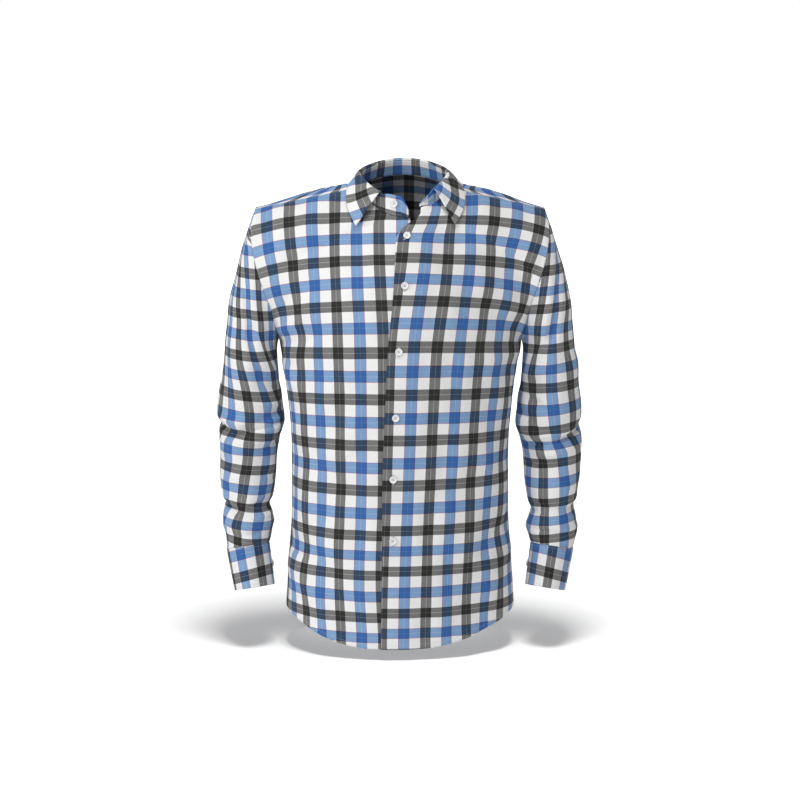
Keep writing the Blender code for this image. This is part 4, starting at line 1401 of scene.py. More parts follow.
    def check(self, u: Array, v: Array, at: Array) -> tuple[Array, Array]:
        """Count the check's bands: round from the grey one in the table, and down the arm.

        Args:
            u: where across the sheet.
            v: where along the sheet.
            at: the sheet's points there; not used.

        Returns:
            The counts across and along, for each point.
        """
        base = self.base(u, v)
        x, z = base[..., 0], base[..., 2]
        half = (u.shape[1] - 1) // 2
        levels = np.linspace(z.min(), z.max(), self.levels)
        cut = np.stack([
            np.stack([np.interp(levels, z[::-1, j], base[::-1, j, axis]) for j in range(u.shape[1])], axis=1)
            for axis in (0, 1)
        ], axis=-1)
        arc = run_length(cut, 1)
        arc = arc - arc[:, half : half + 1]
        line = np.abs(read(self.grey_line, "z", "x", levels))
        reach = np.abs(cut[..., : half + 1, 0])
        start = [np.interp(line[k], reach[k], arc[k, : half + 1]) for k in range(self.levels)]
        start = np.array(start) + np.maximum(line - reach[:, -1], 0.0)
        weights = np.hanning(self.even) / np.hanning(self.even).sum()
        start = np.convolve(np.pad(start, self.even // 2, mode="edge"), weights, mode="valid")
        spacing = CHECK * read(self.crowding, "z", "x", levels)
        count = (arc - start[:, None]) / spacing[:, None] + self.line_count
        across = np.stack([np.interp(z[:, j], levels, count[:, j]) for j in range(u.shape[1])], axis=1)
        slope = self.tilt * (np.abs(x) - self.tilt_x) * smooth(*self.tilt_z, z)
        return across, Check.down(self.bands, 0, z - slope)


@dataclass
class Cuff(ClothPiece):
    """A cuff, round the wrist and past a full turn so that it laps over itself."""

    side: Side = Side.RIGHT
    rings: tuple[Ring, ...] = ()
    extra: float = 24.0             # degrees that its lap reaches past a full turn
    rise: float = 40.0              # degrees over which the upper layer comes up
    start: float = -140.0           # where round the wrist its under end lies
    grey_turn: float = 72.0         # where a grey band crosses it, and how far down a blue one does
    blue_v: float = 0.16
    band_turn: float = 51.7         # degrees from one band to the next
    height_bands: float = 1.92
    tilt: float = 0.1

    def place(self, u: Array, v: Array) -> Array:
        """Lay out the cuff: u round the wrist, v from top to bottom.

        Args:
            u: where across the sheet.
            v: where along the sheet.

        Returns:
            The sheet's points.
        """
        u, v = np.broadcast_arrays(np.asarray(u, float), np.asarray(v, float))
        turn = self.start - (360.0 + self.extra) * u
        a = np.radians(turn)[..., None]
        centre, out, front = Sleeve.tube_frame(self.rings, v, self.side.value)
        over = self.pattern.lap_rise * smooth(360.0 - self.rise, 360.0, (360.0 + self.extra) * u)
        wide = (read(self.rings, "t", "wide", v) + over)[..., None]
        deep = (read(self.rings, "t", "deep", v) + over)[..., None]
        return centre + out * wide * np.cos(a) + front * deep * np.sin(a)

    def relief(self, u: Array, v: Array, at: Array) -> Array:
        """Stand out the rounded edges that the turned seam makes."""
        return 0.0002 * np.sin(math.pi * np.clip(v, 0, 1)) * smooth(0.0, 0.05, u) * smooth(0.0, 0.05, 1 - u)

    def check(self, u: Array, v: Array, at: Array) -> tuple[Array, Array]:
        """Count the check's bands round the wrist and down the cuff.

        Args:
            u: where across the sheet.
            v: where along the sheet.
            at: the sheet's points there; not used.

        Returns:
            The counts across and along, for each point.
        """
        turn = self.start - (360.0 + self.extra) * u
        down = 1.0 + (v - self.blue_v) * self.height_bands - self.tilt * np.cos(np.radians(turn))
        return (self.grey_turn - turn) / self.band_turn, down


@dataclass
class SleevePlacket(ClothPiece):
    """The strip over the slit behind the wrist."""

    side: Side = Side.RIGHT
    on: Sleeve | None = None
    top: float = 0.74               # where it lies on its sleeve: down the arm, and round it
    end: float = 0.957
    edges: tuple[float, float] = (0.8542, 0.9167)
    rise: float = 0.002
    point: float = 0.035            # share of the sleeve over which its end narrows
    count_start: tuple[float, float] = (0.55, 0.2)
    width_bands: float = 0.62

    def place(self, u: Array, v: Array) -> Array:
        """Lay out the strip: u across it, v down it from its point.

        Args:
            u: where across the sheet.
            v: where along the sheet.

        Returns:
            The sheet's points.
        """
        u, v = np.broadcast_arrays(np.asarray(u, float), np.asarray(v, float))
        along = mix(self.top, self.end, v)
        narrow = 1 - smooth(self.top, self.top + self.point, along)
        across = mix(self.edges[0], self.edges[1], mix(u, 0.5, 0.8 * narrow))
        off = outward(self.on.place, across, along) * self.side.value * self.rise
        return self.on.place(across, along) - off

    def check(self, u: Array, v: Array, at: Array) -> tuple[Array, Array]:
        """Count the check's bands along the strip."""
        return self.count_start[0] + u * self.width_bands, self.count_start[1] + run_length(at) / CHECK


@dataclass
class CollarStand(ClothPiece):
    """The stand, from its right end round the back of the neck to its left end."""

    turns: tuple[float, float] = (-186.0, 161.0)    # degrees round the neck of its right and left end
    foot: float = 0.001         # how far above the neckline it starts
    round_off: float = 12.0     # degrees over which the right end is rounded, down to this share
    end: float = 0.25
    tongue: float = 19.0        # degrees over which the left end narrows, down to this share
    tongue_end: float = 0.1
    right_rise: float = 0.004   # how much higher the right end stands
    tip_lift: float = 0.0115    # how far the left end springs up
    tip: float = 24.0           # degrees over which it does
    band_turns: tuple[float, ...] = (   # where the middles of the bands lie, a grey one first
        -202.0, -177.0, -150.0, -118.0, -87.5, -57.0, -32.5, -8.6, 16.4, 43.0, 69.6, 94.0, 118.0, 142.3,
        166.0,
    )
    centre_band: float = 8.0        # which of them the count starts from
    heights: tuple[StandRow, ...] = table(
        StandRow,
        (0.0, 0.0225, 0.006), (60.0, 0.0205, 0.0045), (100.0, 0.018, 0.003), (140.0, 0.0225, 0.001),
        (165.0, 0.028, 0.0), (190.0, 0.029, 0.0),
    )

    def edge(self, turn: Array, share: Array) -> Array:
        """Find the stand's points at a turn and a share of its height.

        Args:
            turn: degrees round the neck.
            share: the share of the stand's height there.

        Returns:
            The stand's points.
        """
        base = self.pattern.neckline(turn)
        height = read(self.heights, "turn", "height", np.abs(turn))
        lean = read(self.heights, "turn", "lean", np.abs(turn))
        a = np.radians(turn)
        inwards = lean * share
        return base + points(-inwards * np.sin(a), -inwards * np.cos(a), self.foot + height * share)

    def place(self, u: Array, v: Array) -> Array:
        """Lay out the stand: u from its right end to its left end, v from the neck seam up.

        Args:
            u: where across the sheet.
            v: where along the sheet.

        Returns:
            The sheet's points.
        """
        u, v = np.broadcast_arrays(np.asarray(u, float), np.asarray(v, float))
        turn = mix(self.turns[0], self.turns[1], u)
        left = self.turns[1] - turn
        rounded = mix(self.end, 1.0, np.sqrt(smooth(0.0, self.round_off, turn - self.turns[0])))
        tongue = mix(self.tongue_end, 1.0, np.clip(left / self.tongue, 0.0, 1.0) ** 1.2)
        at = self.edge(turn, v * np.minimum(rounded, tongue))
        at = at - points(0.0 * u, 0.0 * u, self.foot * 0.8 * (1 - v))
        lift = self.tip_lift * (1 - smooth(0.0, self.tip, left))
        stand_up = self.right_rise * smooth(146.0, 165.0, -turn) * v
        return at + points(0.0 * u, 0.0 * u, lift + stand_up)

    def check(self, u: Array, v: Array, at: Array) -> tuple[Array, Array]:
        """Count the check's bands round the neck and up the stand.

        Args:
            u: where across the sheet.
            v: where along the sheet.
            at: the sheet's points there; not used.

        Returns:
            The counts across and along, for each point.
        """
        turn = mix(self.turns[0], self.turns[1], u)
        front = smooth(60.0, 140.0, np.abs(turn))
        right = smooth(130.0, 165.0, -turn)
        down = -1.0 + mix((0.28 - v) * 0.65, (1.0 - v) * 0.84, front)
        return self.band_count(turn), mix(down, -0.9 + (1.0 - v) * 0.88, right)

    def band_count(self, turn: Array) -> Array:
        """Count the bands round the neck by degrees from the back."""
        return np.interp(turn, self.band_turns, np.arange(len(self.band_turns)) - self.centre_band)


@dataclass
class CollarLeaf(ClothPiece):
    """The leaf, from its right point round to its left point, over the fold and down."""

    stand: CollarStand | None = None
    edge_rows: tuple[LeafRow, ...] = ()
    roll_share: float = 0.2     # share of the leaf that rolls over the top of the stand
    roll_width: float = 0.0034
    roll_rise: float = 0.004
    spring: float = 0.4         # how far the leaf springs out before it falls, as a share of its fall
    lie: float = 0.0005         # how far above the stand it starts
    blue_from_points: tuple[float, float] = (0.0185, 0.042)     # along its edge, on the right and left
    grey_from_edge: tuple[float, float] = (0.019, 0.0285)       # on the left, and on the flatter right
    spread: float = 1.3         # how much wider apart the right end's bands show
    tilt: float = 0.24          # how far the right end's bands turn off square

    def lines(self) -> tuple[Array, Array]:
        """Say where the grid's lines run, with a third of them over the fold.

        Returns:
            The grid's values of u and of v.
        """
        roll = np.linspace(0, self.roll_share, self.rows // 3 + 1)
        fall = np.linspace(self.roll_share, 1, self.rows - self.rows // 3 + 1)[1:]
        return np.linspace(0, 1, self.columns + 1), np.concatenate([roll, fall])

    def place(self, u: Array, v: Array) -> Array:
        """Lay out the leaf.

        Args:
            u: where across the sheet.
            v: where along the sheet.

        Returns:
            The sheet's points.
        """
        u, v = np.broadcast_arrays(np.asarray(u, float), np.asarray(v, float))
        turn = mix(self.edge_rows[0].turn, self.edge_rows[-1].turn, u)
        top = self.stand.edge(turn, 1.0)
        edge = points(*(read(self.edge_rows, "turn", axis, turn) for axis in "xyz"))
        a = np.radians(turn)
        out = points(np.sin(a), np.cos(a), 0 * a)
        up = points(0 * a, 0 * a, 1 + 0 * a)
        start = top - out * FOLDED_WALL + up * self.lie
        crest = start + out * self.roll_width + up * self.roll_rise
        quarter = (np.clip(v / self.roll_share, 0.0, 1.0) * math.pi / 2)[..., None]
        roll = start + out * self.roll_width * (1 - np.cos(quarter)) + up * self.roll_rise * np.sin(quarter)
        s = np.clip((v - self.roll_share) / (1 - self.roll_share), 0.0, 1.0)[..., None]
        run = edge - crest
        length = np.linalg.norm(run, axis=-1, keepdims=True)
        fall = hermite(crest, edge, out * self.spring, run / length, length, s)
        return np.where((v > self.roll_share)[..., None], fall, roll)

    def check(self, u: Array, v: Array, at: Array) -> tuple[Array, Array]:
        """Count the check's bands on the leaf laid flat, along its free edge and in from it.

        Args:
            u: where across the sheet.
            v: where along the sheet; not used.
            at: the sheet's points there.

        Returns:
            The counts across and along, for each point.
        """
        edge = at[-1]
        run = run_length(edge)
        tangent = unit(np.gradient(edge, axis=0))
        inwards = unit(at[-4] - edge)
        cosine = np.sum(tangent * inwards, axis=-1)
        sine = np.sqrt(np.maximum(1 - cosine**2, 0.0))
        far = run_length(at)
        far = far[-1:] - far
        first, last = self.blue_from_points
        steps = 2 * round((run[-1] - first - last) / CHECK / 2)
        turn = mix(self.edge_rows[0].turn, self.edge_rows[-1].turn, u)
        right = smooth(60.0, 110.0, -turn)
        across = 1.0 + (run + far * (cosine + self.tilt * right) - first) * steps / (run[-1] - first - last)
        behind = self.stand.band_count(turn)
        side = int(np.argmin(np.abs(turn[0] + 92.0)))
        behind = behind + 2 * round(float(across[0, side] - behind[0, side]) / 2)
        front = smooth(75.0, 110.0, np.abs(turn))
        down = (far * sine - mix(*self.grey_from_edge, right)) / (CHECK * mix(1.0, self.spread, right))
        return mix(behind, across, front), down - 0.3 * (1 - front)


@dataclass
class Seam:
    """A row of stitches on a piece, given by its ends in the piece's own directions."""

    u: tuple[float, float]
    v: tuple[float, float]


@dataclass
class Stitching:
    """Lock stitches sewn along the seams of one piece."""

    piece: ClothPiece
    seams: tuple[Seam, ...]
    length: float = 0.0021
    pitch: float = 0.0029
    width: float = 0.00042
    height: float = 0.0003
    samples: int = 1200         # points along a seam that its length is measured by
    look: float = 0.0008        # how far ahead a stitch takes its direction
    batch: int = 50             # stitches made at a time, because small meshes are quicker to add to

    def build(self) -> bpy.types.Object:
        """Make all the stitches of the piece as one mesh.

        Returns:
            Its object.
        """
        bm = bmesh.new()
        for seam in self.seams:
            s = np.linspace(0, 1, self.samples)
            u, v = mix(seam.u[0], seam.u[1], s), mix(seam.v[0], seam.v[1], s)
            path = self.piece.fine(u, v)
            far = run_length(path)
            stops = np.arange(self.pitch, far[-1] - self.pitch, self.pitch)
            at = np.interp(stops, far, s)
            u, v = mix(seam.u[0], seam.u[1], at), mix(seam.v[0], seam.v[1], at)
            centre = self.piece.fine(u, v)
            normal = outward(self.piece.fine, u, v) * self.piece.facing
            ahead = np.stack([np.interp(stops + self.look, far, path[:, k]) for k in range(3)], axis=-1)
            along = unit(ahead - centre)
            across = unit(np.cross(normal, along))
            for first in range(0, len(stops), self.batch):
                few = bmesh.new()
                rows = slice(first, first + self.batch)
                for c, n, a, w in zip(centre[rows], normal[rows], along[rows], across[rows]):
                    size = (a * self.length / 2, w * self.width / 2, n * self.height / 2)
                    turn = Matrix(size).transposed().to_4x4()
                    turn.translation = Vector(c)
                    bmesh.ops.create_uvsphere(few, u_segments=5, v_segments=4, radius=1.0, matrix=turn @ TIP)
                batch = bpy.data.meshes.new("batch")
                few.to_mesh(batch)
                few.free()
                bm.from_mesh(batch)
                bpy.data.meshes.remove(batch)
        obj = from_bmesh(bm, self.piece.name + "_stitches")
        obj.data.shade_smooth()
        return obj

    def dress(self, obj: bpy.types.Object, thread: bpy.types.Material) -> None:
        """Give the stitches their thread."""
        finish(obj, thread)


@dataclass
class Button:
    """A four-hole button, sewn on with crossed thread."""

    name: str
    on: ClothPiece
    u: float
    v: float
    radius: float = 0.00575
    thick: float = 0.0024
    gap: float = 0.0006         # between the button and the cloth
    rim: float = 0.0012
    dish: float = 0.001         # how deep its middle lies below the rim
    hole: float = 0.00062
    spread: float = 0.00125     # how far each hole is from the middle, both ways
    length: float = 1.62        # half a crossing thread's length, in spreads of the holes
    cross: tuple[float, float] = (0.0002, 0.00028)      # half its width and height
    beside: float = 0.00022     # how far each thread of a pair lies to its side
    shank: tuple[float, float] = (0.0009, 0.0008)       # the threads below it, at the cloth and the button

    def seat(self) -> Matrix:
        """Find where the button sits: its place, with its axis off the cloth.

        Returns:
            The matrix that puts the button there.
        """
        u, v = np.array(self.u), np.array(self.v)
        at = self.on.place(u, v)
        normal = Vector((outward(self.on.place, u, v) * self.on.facing).tolist())
        turn = Vector((0.0, 0.0, 1.0)).rotation_difference(normal).to_matrix().to_4x4()
        turn.translation = Vector(at.tolist()) + normal * (self.thick / 2 + self.gap)
        return turn

    def build(self) -> bpy.types.Object:
        """Make the button: a dished disc with a rolled rim and four holes through it.

        Returns:
            Its object.
        """
        bm = bmesh.new()
        top, low, r = self.thick / 2, -self.thick / 2, self.radius
        outline = [
            (0.0, top - self.dish), (r - self.rim * 1.7, top - self.dish),
            (r - self.rim * 1.25, top - self.dish * 0.35), (r - self.rim * 0.8, top),
            (r - 0.0004, top - 0.00012), (r, top - 0.0006), (r, low + 0.0006),
            (r - 0.0005, low + 0.0001), (r - 0.0012, low), (0.0, low),
        ]
        verts = [bm.verts.new((x, 0.0, z)) for x, z in outline]
        edges = [bm.edges.new(pair) for pair in zip(verts, verts[1:])]
        bmesh.ops.spin(
            bm, geom=verts + edges, cent=(0, 0, 0), axis=(0, 0, 1), angle=2 * math.pi, steps=36,
            use_merge=True,
        )
        bmesh.ops.remove_doubles(bm, verts=bm.verts, dist=0.00001)
        bmesh.ops.recalc_face_normals(bm, faces=bm.faces)
        disc = from_bmesh(bm, self.name + "_disc")
        drill = bmesh.new()
        for x in (-1, 1):
            for y in (-1, 1):
                place = Matrix.Translation((x * self.spread, y * self.spread, 0.0))
                bmesh.ops.create_cone(
                    drill, cap_ends=True, segments=12, radius1=self.hole, radius2=self.hole,
                    depth=self.thick * 2, matrix=place,
                )
        drills = from_bmesh(drill, self.name + "_drills")
        cut = disc.modifiers.new("holes", "BOOLEAN")
        cut.operation = "DIFFERENCE"
        cut.object = drills
        cut.solver = "EXACT"
        mesh = bpy.data.meshes.new_from_object(disc.evaluated_get(bpy.context.evaluated_depsgraph_get()))
        for old in (disc, drills):
            bpy.data.objects.remove(old)
        mesh.name = self.name
        mesh.transform(self.seat())
        mesh.shade_smooth()
        mesh.set_sharp_from_angle(angle=math.radians(50))
        return add_object(self.name + "_disc", mesh)

    def thread(self) -> bpy.types.Object:
        """Make the thread that crosses between the holes and goes down through the cloth.

        Returns:
            Its object.
        """
        bm = bmesh.new()
        seat = self.seat()
        lift = self.thick / 2 - self.dish + 0.00012
        for way in (1, -1):
            for shift in (-self.beside, self.beside):
                turn = Matrix.Rotation(way * math.pi / 4, 4, "Z")
                size = Matrix.Diagonal((self.spread * self.length, *self.cross, 1.0))
                place = Matrix.Translation((0.0, shift, lift + 0.0001 * way))
                bmesh.ops.create_uvsphere(
                    bm, u_segments=8, v_segments=6, radius=1.0, matrix=seat @ turn @ place @ size @ TIP
                )
        bmesh.ops.create_cone(
            bm, cap_ends=True, segments=10, radius1=self.shank[0], radius2=self.shank[1],
            depth=self.thick, matrix=seat @ Matrix.Translation((0, 0, -self.thick / 2)),
        )
        obj = from_bmesh(bm, self.name + "_thread")
        obj.data.shade_smooth()
        return obj

    def dress(
        self,
        disc: bpy.types.Object,
        sewn: bpy.types.Object,
        plastic: bpy.types.Material,
        thread: bpy.types.Material,
    ) -> None:
        """Give the button and its thread their finishes.

        Args:
            disc: the button.
            sewn: its thread.
            plastic: the button's finish.
            thread: the thread's finish.
        """
        finish(disc, plastic)
        finish(sewn, thread)
        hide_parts(self.name)


@dataclass
class Buttonhole:
    """A slit edged with satin stitch, with a bar at each end."""

    on: ClothPiece
    u: float
    v: float
    upright: bool = True
    length: float = 0.0145
    width: float = 0.003
    count: int = 26             # stitches along each side
    ends: int = 4               # stitches in each bar
    bar: float = 0.0016         # how long those are
    past: float = 0.0004        # how far beyond the slit they lie
    stitch: tuple[float, float] = (0.00026, 0.00016)    # half a stitch's width and height
    lift: float = 0.00012

    def build(self, name: str) -> bpy.types.Object:
        """Make the buttonhole's stitches.

        Args:
            name: what to call it.

        Returns:
            Its object.
        """
        u, v = np.array(self.u), np.array(self.v)
        centre = Vector(self.on.place(u, v).tolist())
        normal = Vector((outward(self.on.place, u, v) * self.on.facing).tolist())
        step = (0.0, 0.01) if self.upright else (0.01, 0.0)
        ahead = Vector(self.on.place(u + step[0], v + step[1]).tolist()) - centre
        along = (ahead - normal * ahead.dot(normal)).normalized()
        across = normal.cross(along)
        bm = bmesh.new()

        def lay(at: Vector, way: Vector, length: float, other: Vector) -> None:
            """Lay one stitch.

            Args:
                at: its middle.
                way: the way that it runs.
                length: how long it is.
                other: the way across it.
            """
            size = (way * length / 2, other * self.stitch[0], normal * self.stitch[1])
            turn = Matrix(size).transposed().to_4x4()
            turn.translation = at + normal * self.lift
            bmesh.ops.create_uvsphere(bm, u_segments=5, v_segments=4, radius=1.0, matrix=turn @ TIP)

        for i in range(self.count):
            far = (i / (self.count - 1) - 0.5) * self.length
            for side in (-1, 1):
                at = centre + along * far + across * side * self.width * 0.29
                lay(at, across, self.width * 0.46, along)
        for end in (-1, 1):
            for i in range(self.ends):
                off = (i / (self.ends - 1) - 0.5) * self.width * 0.8
                at = centre + along * end * (self.length / 2 + self.past) + across * off
                lay(at, along, self.bar, across)
        obj = from_bmesh(bm, name)
        obj.data.shade_smooth()
        return obj

    def dress(self, obj: bpy.types.Object, thread: bpy.types.Material) -> None:
        """Give the buttonhole its thread."""
        finish(obj, thread)


SEAMS: dict[type, tuple[Seam, ...]] = {     # the rows of stitches that show on each kind of piece
    FrontPanel: table(
        Seam,
        ((0.018, 0.985), (0.0085, 0.0085)), ((0.03, 0.985), (0.991, 0.991)), ((0.99, 0.99), (0.56, 0.99)),
    ),
    BackPanel: table(
        Seam,
        ((0.01, 0.99), (0.0085, 0.0085)), ((0.006, 0.006), (0.66, 0.99)), ((0.994, 0.994), (0.66, 0.99)),
    ),
    Yoke: table(
        Seam,
        ((0.01, 0.99), (0.982, 0.982)), ((0.01, 0.265), (0.018, 0.018)), ((0.735, 0.99), (0.018, 0.018)),
    ),
    Cuff: table(
        Seam,
        ((0.012, 0.988), (0.055, 0.055)), ((0.012, 0.988), (0.93, 0.93)), ((0.985, 0.985), (0.06, 0.93)),
    ),
    SleevePlacket: table(
        Seam,
        ((0.1, 0.1), (0.14, 0.98)), ((0.9, 0.9), (0.14, 0.98)), ((0.1, 0.9), (0.14, 0.14)),
    ),
    CollarStand: table(Seam, ((0.02, 0.98), (0.1, 0.1))),
    CollarLeaf: table(
        Seam,
        ((0.012, 0.988), (0.925, 0.925)), ((0.012, 0.012), (0.26, 0.925)), ((0.988, 0.988), (0.26, 0.925)),
    ),
}


FRONT_FOLDS = {     # the large folds that the photograph shows, and the finer ones
    Side.RIGHT: table(
        Fold,
        (-0.205, -0.215, -0.12, -0.13, 0.016, -0.004), (-0.2, -0.25, -0.11, -0.215, 0.018, -0.0045),
        (-0.19, -0.27, -0.15, -0.33, 0.012, 0.0035), (-0.18, -0.56, -0.1, -0.6, 0.016, -0.004),
        (-0.185, -0.6, -0.12, -0.655, 0.014, 0.0035), (-0.15, -0.43, -0.05, -0.49, 0.02, -0.0025),
        (-0.06, -0.56, -0.04, -0.72, 0.014, 0.003),
    ),
    Side.LEFT: table(
        Fold,
        (0.205, -0.15, 0.12, -0.11, 0.016, -0.0035), (0.2, -0.235, 0.11, -0.16, 0.018, -0.005),
        (0.195, -0.26, 0.12, -0.27, 0.014, 0.0035), (0.185, -0.52, 0.12, -0.59, 0.015, -0.005),
        (0.185, -0.56, 0.14, -0.64, 0.013, 0.004), (0.15, -0.44, 0.04, -0.5, 0.02, -0.0025),
        (0.03, -0.34, 0.02, -0.52, 0.012, 0.002),
    ),
}
FRONT_CREASES = {
    Side.RIGHT: table(
        Fold,
        (-0.196, -0.205, -0.165, -0.15, 0.006, -0.0016), (-0.19, -0.228, -0.15, -0.205, 0.007, 0.0018),
        (-0.192, -0.262, -0.16, -0.285, 0.006, -0.0018), (-0.12, -0.3, -0.128, -0.43, 0.01, 0.0012),
        (-0.09, -0.26, -0.094, -0.4, 0.011, -0.0012), (-0.172, -0.48, -0.15, -0.56, 0.008, -0.0016),
        (-0.176, -0.575, -0.15, -0.59, 0.005, -0.0022), (-0.15, -0.64, -0.1, -0.7, 0.01, 0.0016),
        (-0.06, -0.41, -0.11, -0.44, 0.01, -0.0012), (-0.03, -0.11, -0.07, -0.17, 0.012, 0.001),
    ),
    Side.LEFT: table(
        Fold,
        (0.214, -0.128, 0.192, -0.17, 0.005, -0.0024), (0.204, -0.16, 0.176, -0.2, 0.006, 0.002),
        (0.196, -0.205, 0.16, -0.23, 0.007, -0.0016), (0.186, -0.29, 0.15, -0.33, 0.008, 0.0014),
        (0.14, -0.29, 0.134, -0.42, 0.01, -0.0013), (0.095, -0.24, 0.1, -0.39, 0.012, 0.0012),
        (0.06, -0.56, 0.07, -0.69, 0.01, 0.0014), (0.172, -0.6, 0.13, -0.625, 0.007, -0.0018),
        (0.11, -0.64, 0.08, -0.705, 0.01, -0.0014), (0.05, -0.11, 0.08, -0.17, 0.012, 0.001),
    ),
}
FRONT_BANDS = {     # the heights of the bands that cross each piece
    Side.RIGHT: (
        -0.0429, -0.0736, -0.1048, -0.1376, -0.1736, -0.2074, -0.2472, -0.2843, -0.3212, -0.3582, -0.3953,
        -0.4318, -0.4682, -0.5046, -0.5406, -0.5718, -0.603, -0.6374, -0.6715, -0.7042,
    ),
    Side.LEFT: (
        -0.0456, -0.0724, -0.1026, -0.133, -0.1661, -0.2005, -0.2371, -0.2765, -0.3133, -0.3519, -0.3865,
        -0.4237, -0.4593, -0.4962, -0.5319, -0.5639, -0.5959, -0.6304, -0.6635, -0.6962,
    ),
}
FRONT_GREY = {      # the grey band that each piece's other bands are counted from
    Side.RIGHT: table(
        Width,
        (-0.694, -0.0933), (-0.63, -0.0963), (-0.454, -0.0934), (-0.245, -0.0962), (-0.093, -0.1018),
        (0.0, -0.1018),
    ),
    Side.LEFT: table(
        Width,
        (-0.7, 0.04), (-0.643, 0.0409), (-0.451, 0.0477), (-0.355, 0.0514), (-0.243, 0.0573),
        (-0.092, 0.076), (-0.035, 0.077), (0.0, 0.077),
    ),
}
BACK_FOLDS = table(
    Fold,
    (-0.2, -0.2, -0.08, -0.26, 0.02, -0.0045), (0.2, -0.19, 0.09, -0.25, 0.02, -0.0045),
    (-0.16, -0.4, 0.02, -0.44, 0.022, -0.005), (0.17, -0.38, -0.01, -0.47, 0.018, 0.004),
    (-0.12, -0.48, 0.06, -0.52, 0.02, 0.004), (0.09, -0.52, 0.07, -0.72, 0.018, 0.0045),
    (-0.08, -0.54, -0.09, -0.72, 0.018, 0.0045),
)
BACK_CREASES = table(
    Fold,
    (-0.196, -0.215, -0.15, -0.16, 0.008, 0.0018), (0.196, -0.215, 0.15, -0.155, 0.008, 0.0018),
    (-0.15, -0.33, -0.07, -0.37, 0.01, 0.0018), (0.15, -0.32, 0.06, -0.36, 0.01, -0.0018),
    (-0.03, -0.15, -0.035, -0.33, 0.012, 0.0014), (0.04, -0.16, 0.046, -0.31, 0.011, -0.0014),
    (-0.14, -0.56, -0.15, -0.68, 0.01, -0.0018), (0.14, -0.57, 0.155, -0.68, 0.01, 0.0018),
    (0.01, -0.56, 0.0, -0.72, 0.012, -0.0016),
)
ARM_FOLDS = table(
    SleeveFold,
    (150, -0.262, 60, -0.205, 0.013, -0.005), (165, -0.3, 75, -0.268, 0.012, 0.004),
    (-20, -0.372, 70, -0.392, 0.01, -0.006), (60, -0.396, 165, -0.352, 0.01, -0.0055),
    (100, -0.382, 190, -0.372, 0.012, 0.0045), (20, -0.425, 120, -0.41, 0.012, 0.0035),
    (-40, -0.505, 110, -0.522, 0.009, -0.0045), (90, -0.515, 220, -0.512, 0.008, -0.0045),
    (120, -0.54, 230, -0.538, 0.01, 0.0045), (-60, -0.545, 80, -0.54, 0.009, 0.0035),
    (200, -0.33, 290, -0.38, 0.014, 0.004), (210, -0.44, 300, -0.4, 0.012, -0.004),
)
BEHIND_ARM = table(     # the creases that both arms share
    SleeveFold,
    (220, -0.28, 280, -0.24, 0.01, 0.0022), (240, -0.38, 300, -0.366, 0.007, -0.0034),
    (230, -0.404, 310, -0.392, 0.006, 0.0026), (250, -0.48, 320, -0.5, 0.008, 0.0026),
    (230, -0.52, 300, -0.528, 0.006, -0.003),
)
ARM_CREASES = {     # from the armhole down
    Side.RIGHT: BEHIND_ARM + table(
        SleeveFold,
        (62, -0.14, 118, -0.31, 0.0085, -0.0052), (84, -0.15, 138, -0.3, 0.008, 0.0042),
        (35, -0.2, 60, -0.31, 0.009, 0.0022), (160, -0.33, 110, -0.3, 0.005, -0.0026),
        (170, -0.352, 110, -0.34, 0.006, 0.003), (-20, -0.379, 75, -0.391, 0.0042, -0.0042),
        (70, -0.392, 175, -0.372, 0.0044, -0.0048), (0, -0.368, 110, -0.377, 0.006, 0.003),
        (20, -0.408, 130, -0.404, 0.006, 0.003), (125, -0.418, 190, -0.402, 0.0055, -0.0034),
        (100, -0.45, 30, -0.48, 0.008, 0.0022), (170, -0.47, 110, -0.45, 0.007, -0.0026),
        (-30, -0.502, 60, -0.516, 0.0045, -0.0036), (55, -0.518, 150, -0.503, 0.0045, -0.004),
        (100, -0.53, 190, -0.524, 0.006, 0.0036), (-30, -0.53, 50, -0.552, 0.005, -0.0028),
        (130, -0.552, 40, -0.56, 0.0045, -0.0028),
    ),
    Side.LEFT: BEHIND_ARM + table(
        SleeveFold,
        (48, -0.12, 96, -0.25, 0.0075, -0.0046), (80, -0.15, 130, -0.29, 0.008, 0.0036),
        (20, -0.18, 40, -0.3, 0.009, 0.002), (150, -0.32, 95, -0.345, 0.006, -0.003),
        (170, -0.36, 100, -0.372, 0.006, 0.0032), (150, -0.404, 60, -0.396, 0.0042, -0.0048),
        (70, -0.394, 0, -0.378, 0.0042, -0.0044), (120, -0.388, 30, -0.378, 0.005, 0.0034),
        (120, -0.42, 10, -0.406, 0.006, 0.003), (160, -0.44, 110, -0.425, 0.006, -0.003),
        (90, -0.455, 30, -0.48, 0.008, 0.0022), (150, -0.5, 60, -0.506, 0.0045, -0.0042),
        (60, -0.507, -20, -0.5, 0.0045, -0.0036), (140, -0.518, 20, -0.52, 0.0055, 0.0034),
        (150, -0.538, 60, -0.546, 0.0045, -0.004), (60, -0.547, 0, -0.544, 0.0045, -0.003),
    ),
}
ARM_BANDS = {
    Side.RIGHT: (
        -0.072, -0.097, -0.1341, -0.166, -0.1983, -0.231, -0.264, -0.296, -0.3286, -0.364, -0.396, -0.419,
        -0.4496, -0.482, -0.5116, -0.5405, -0.5671,
    ),
    Side.LEFT: (
        -0.068, -0.093, -0.1288, -0.161, -0.1865, -0.223, -0.2515, -0.286, -0.314, -0.352, -0.385, -0.409,
        -0.4385, -0.47, -0.5033, -0.532, -0.5602,
    ),
}
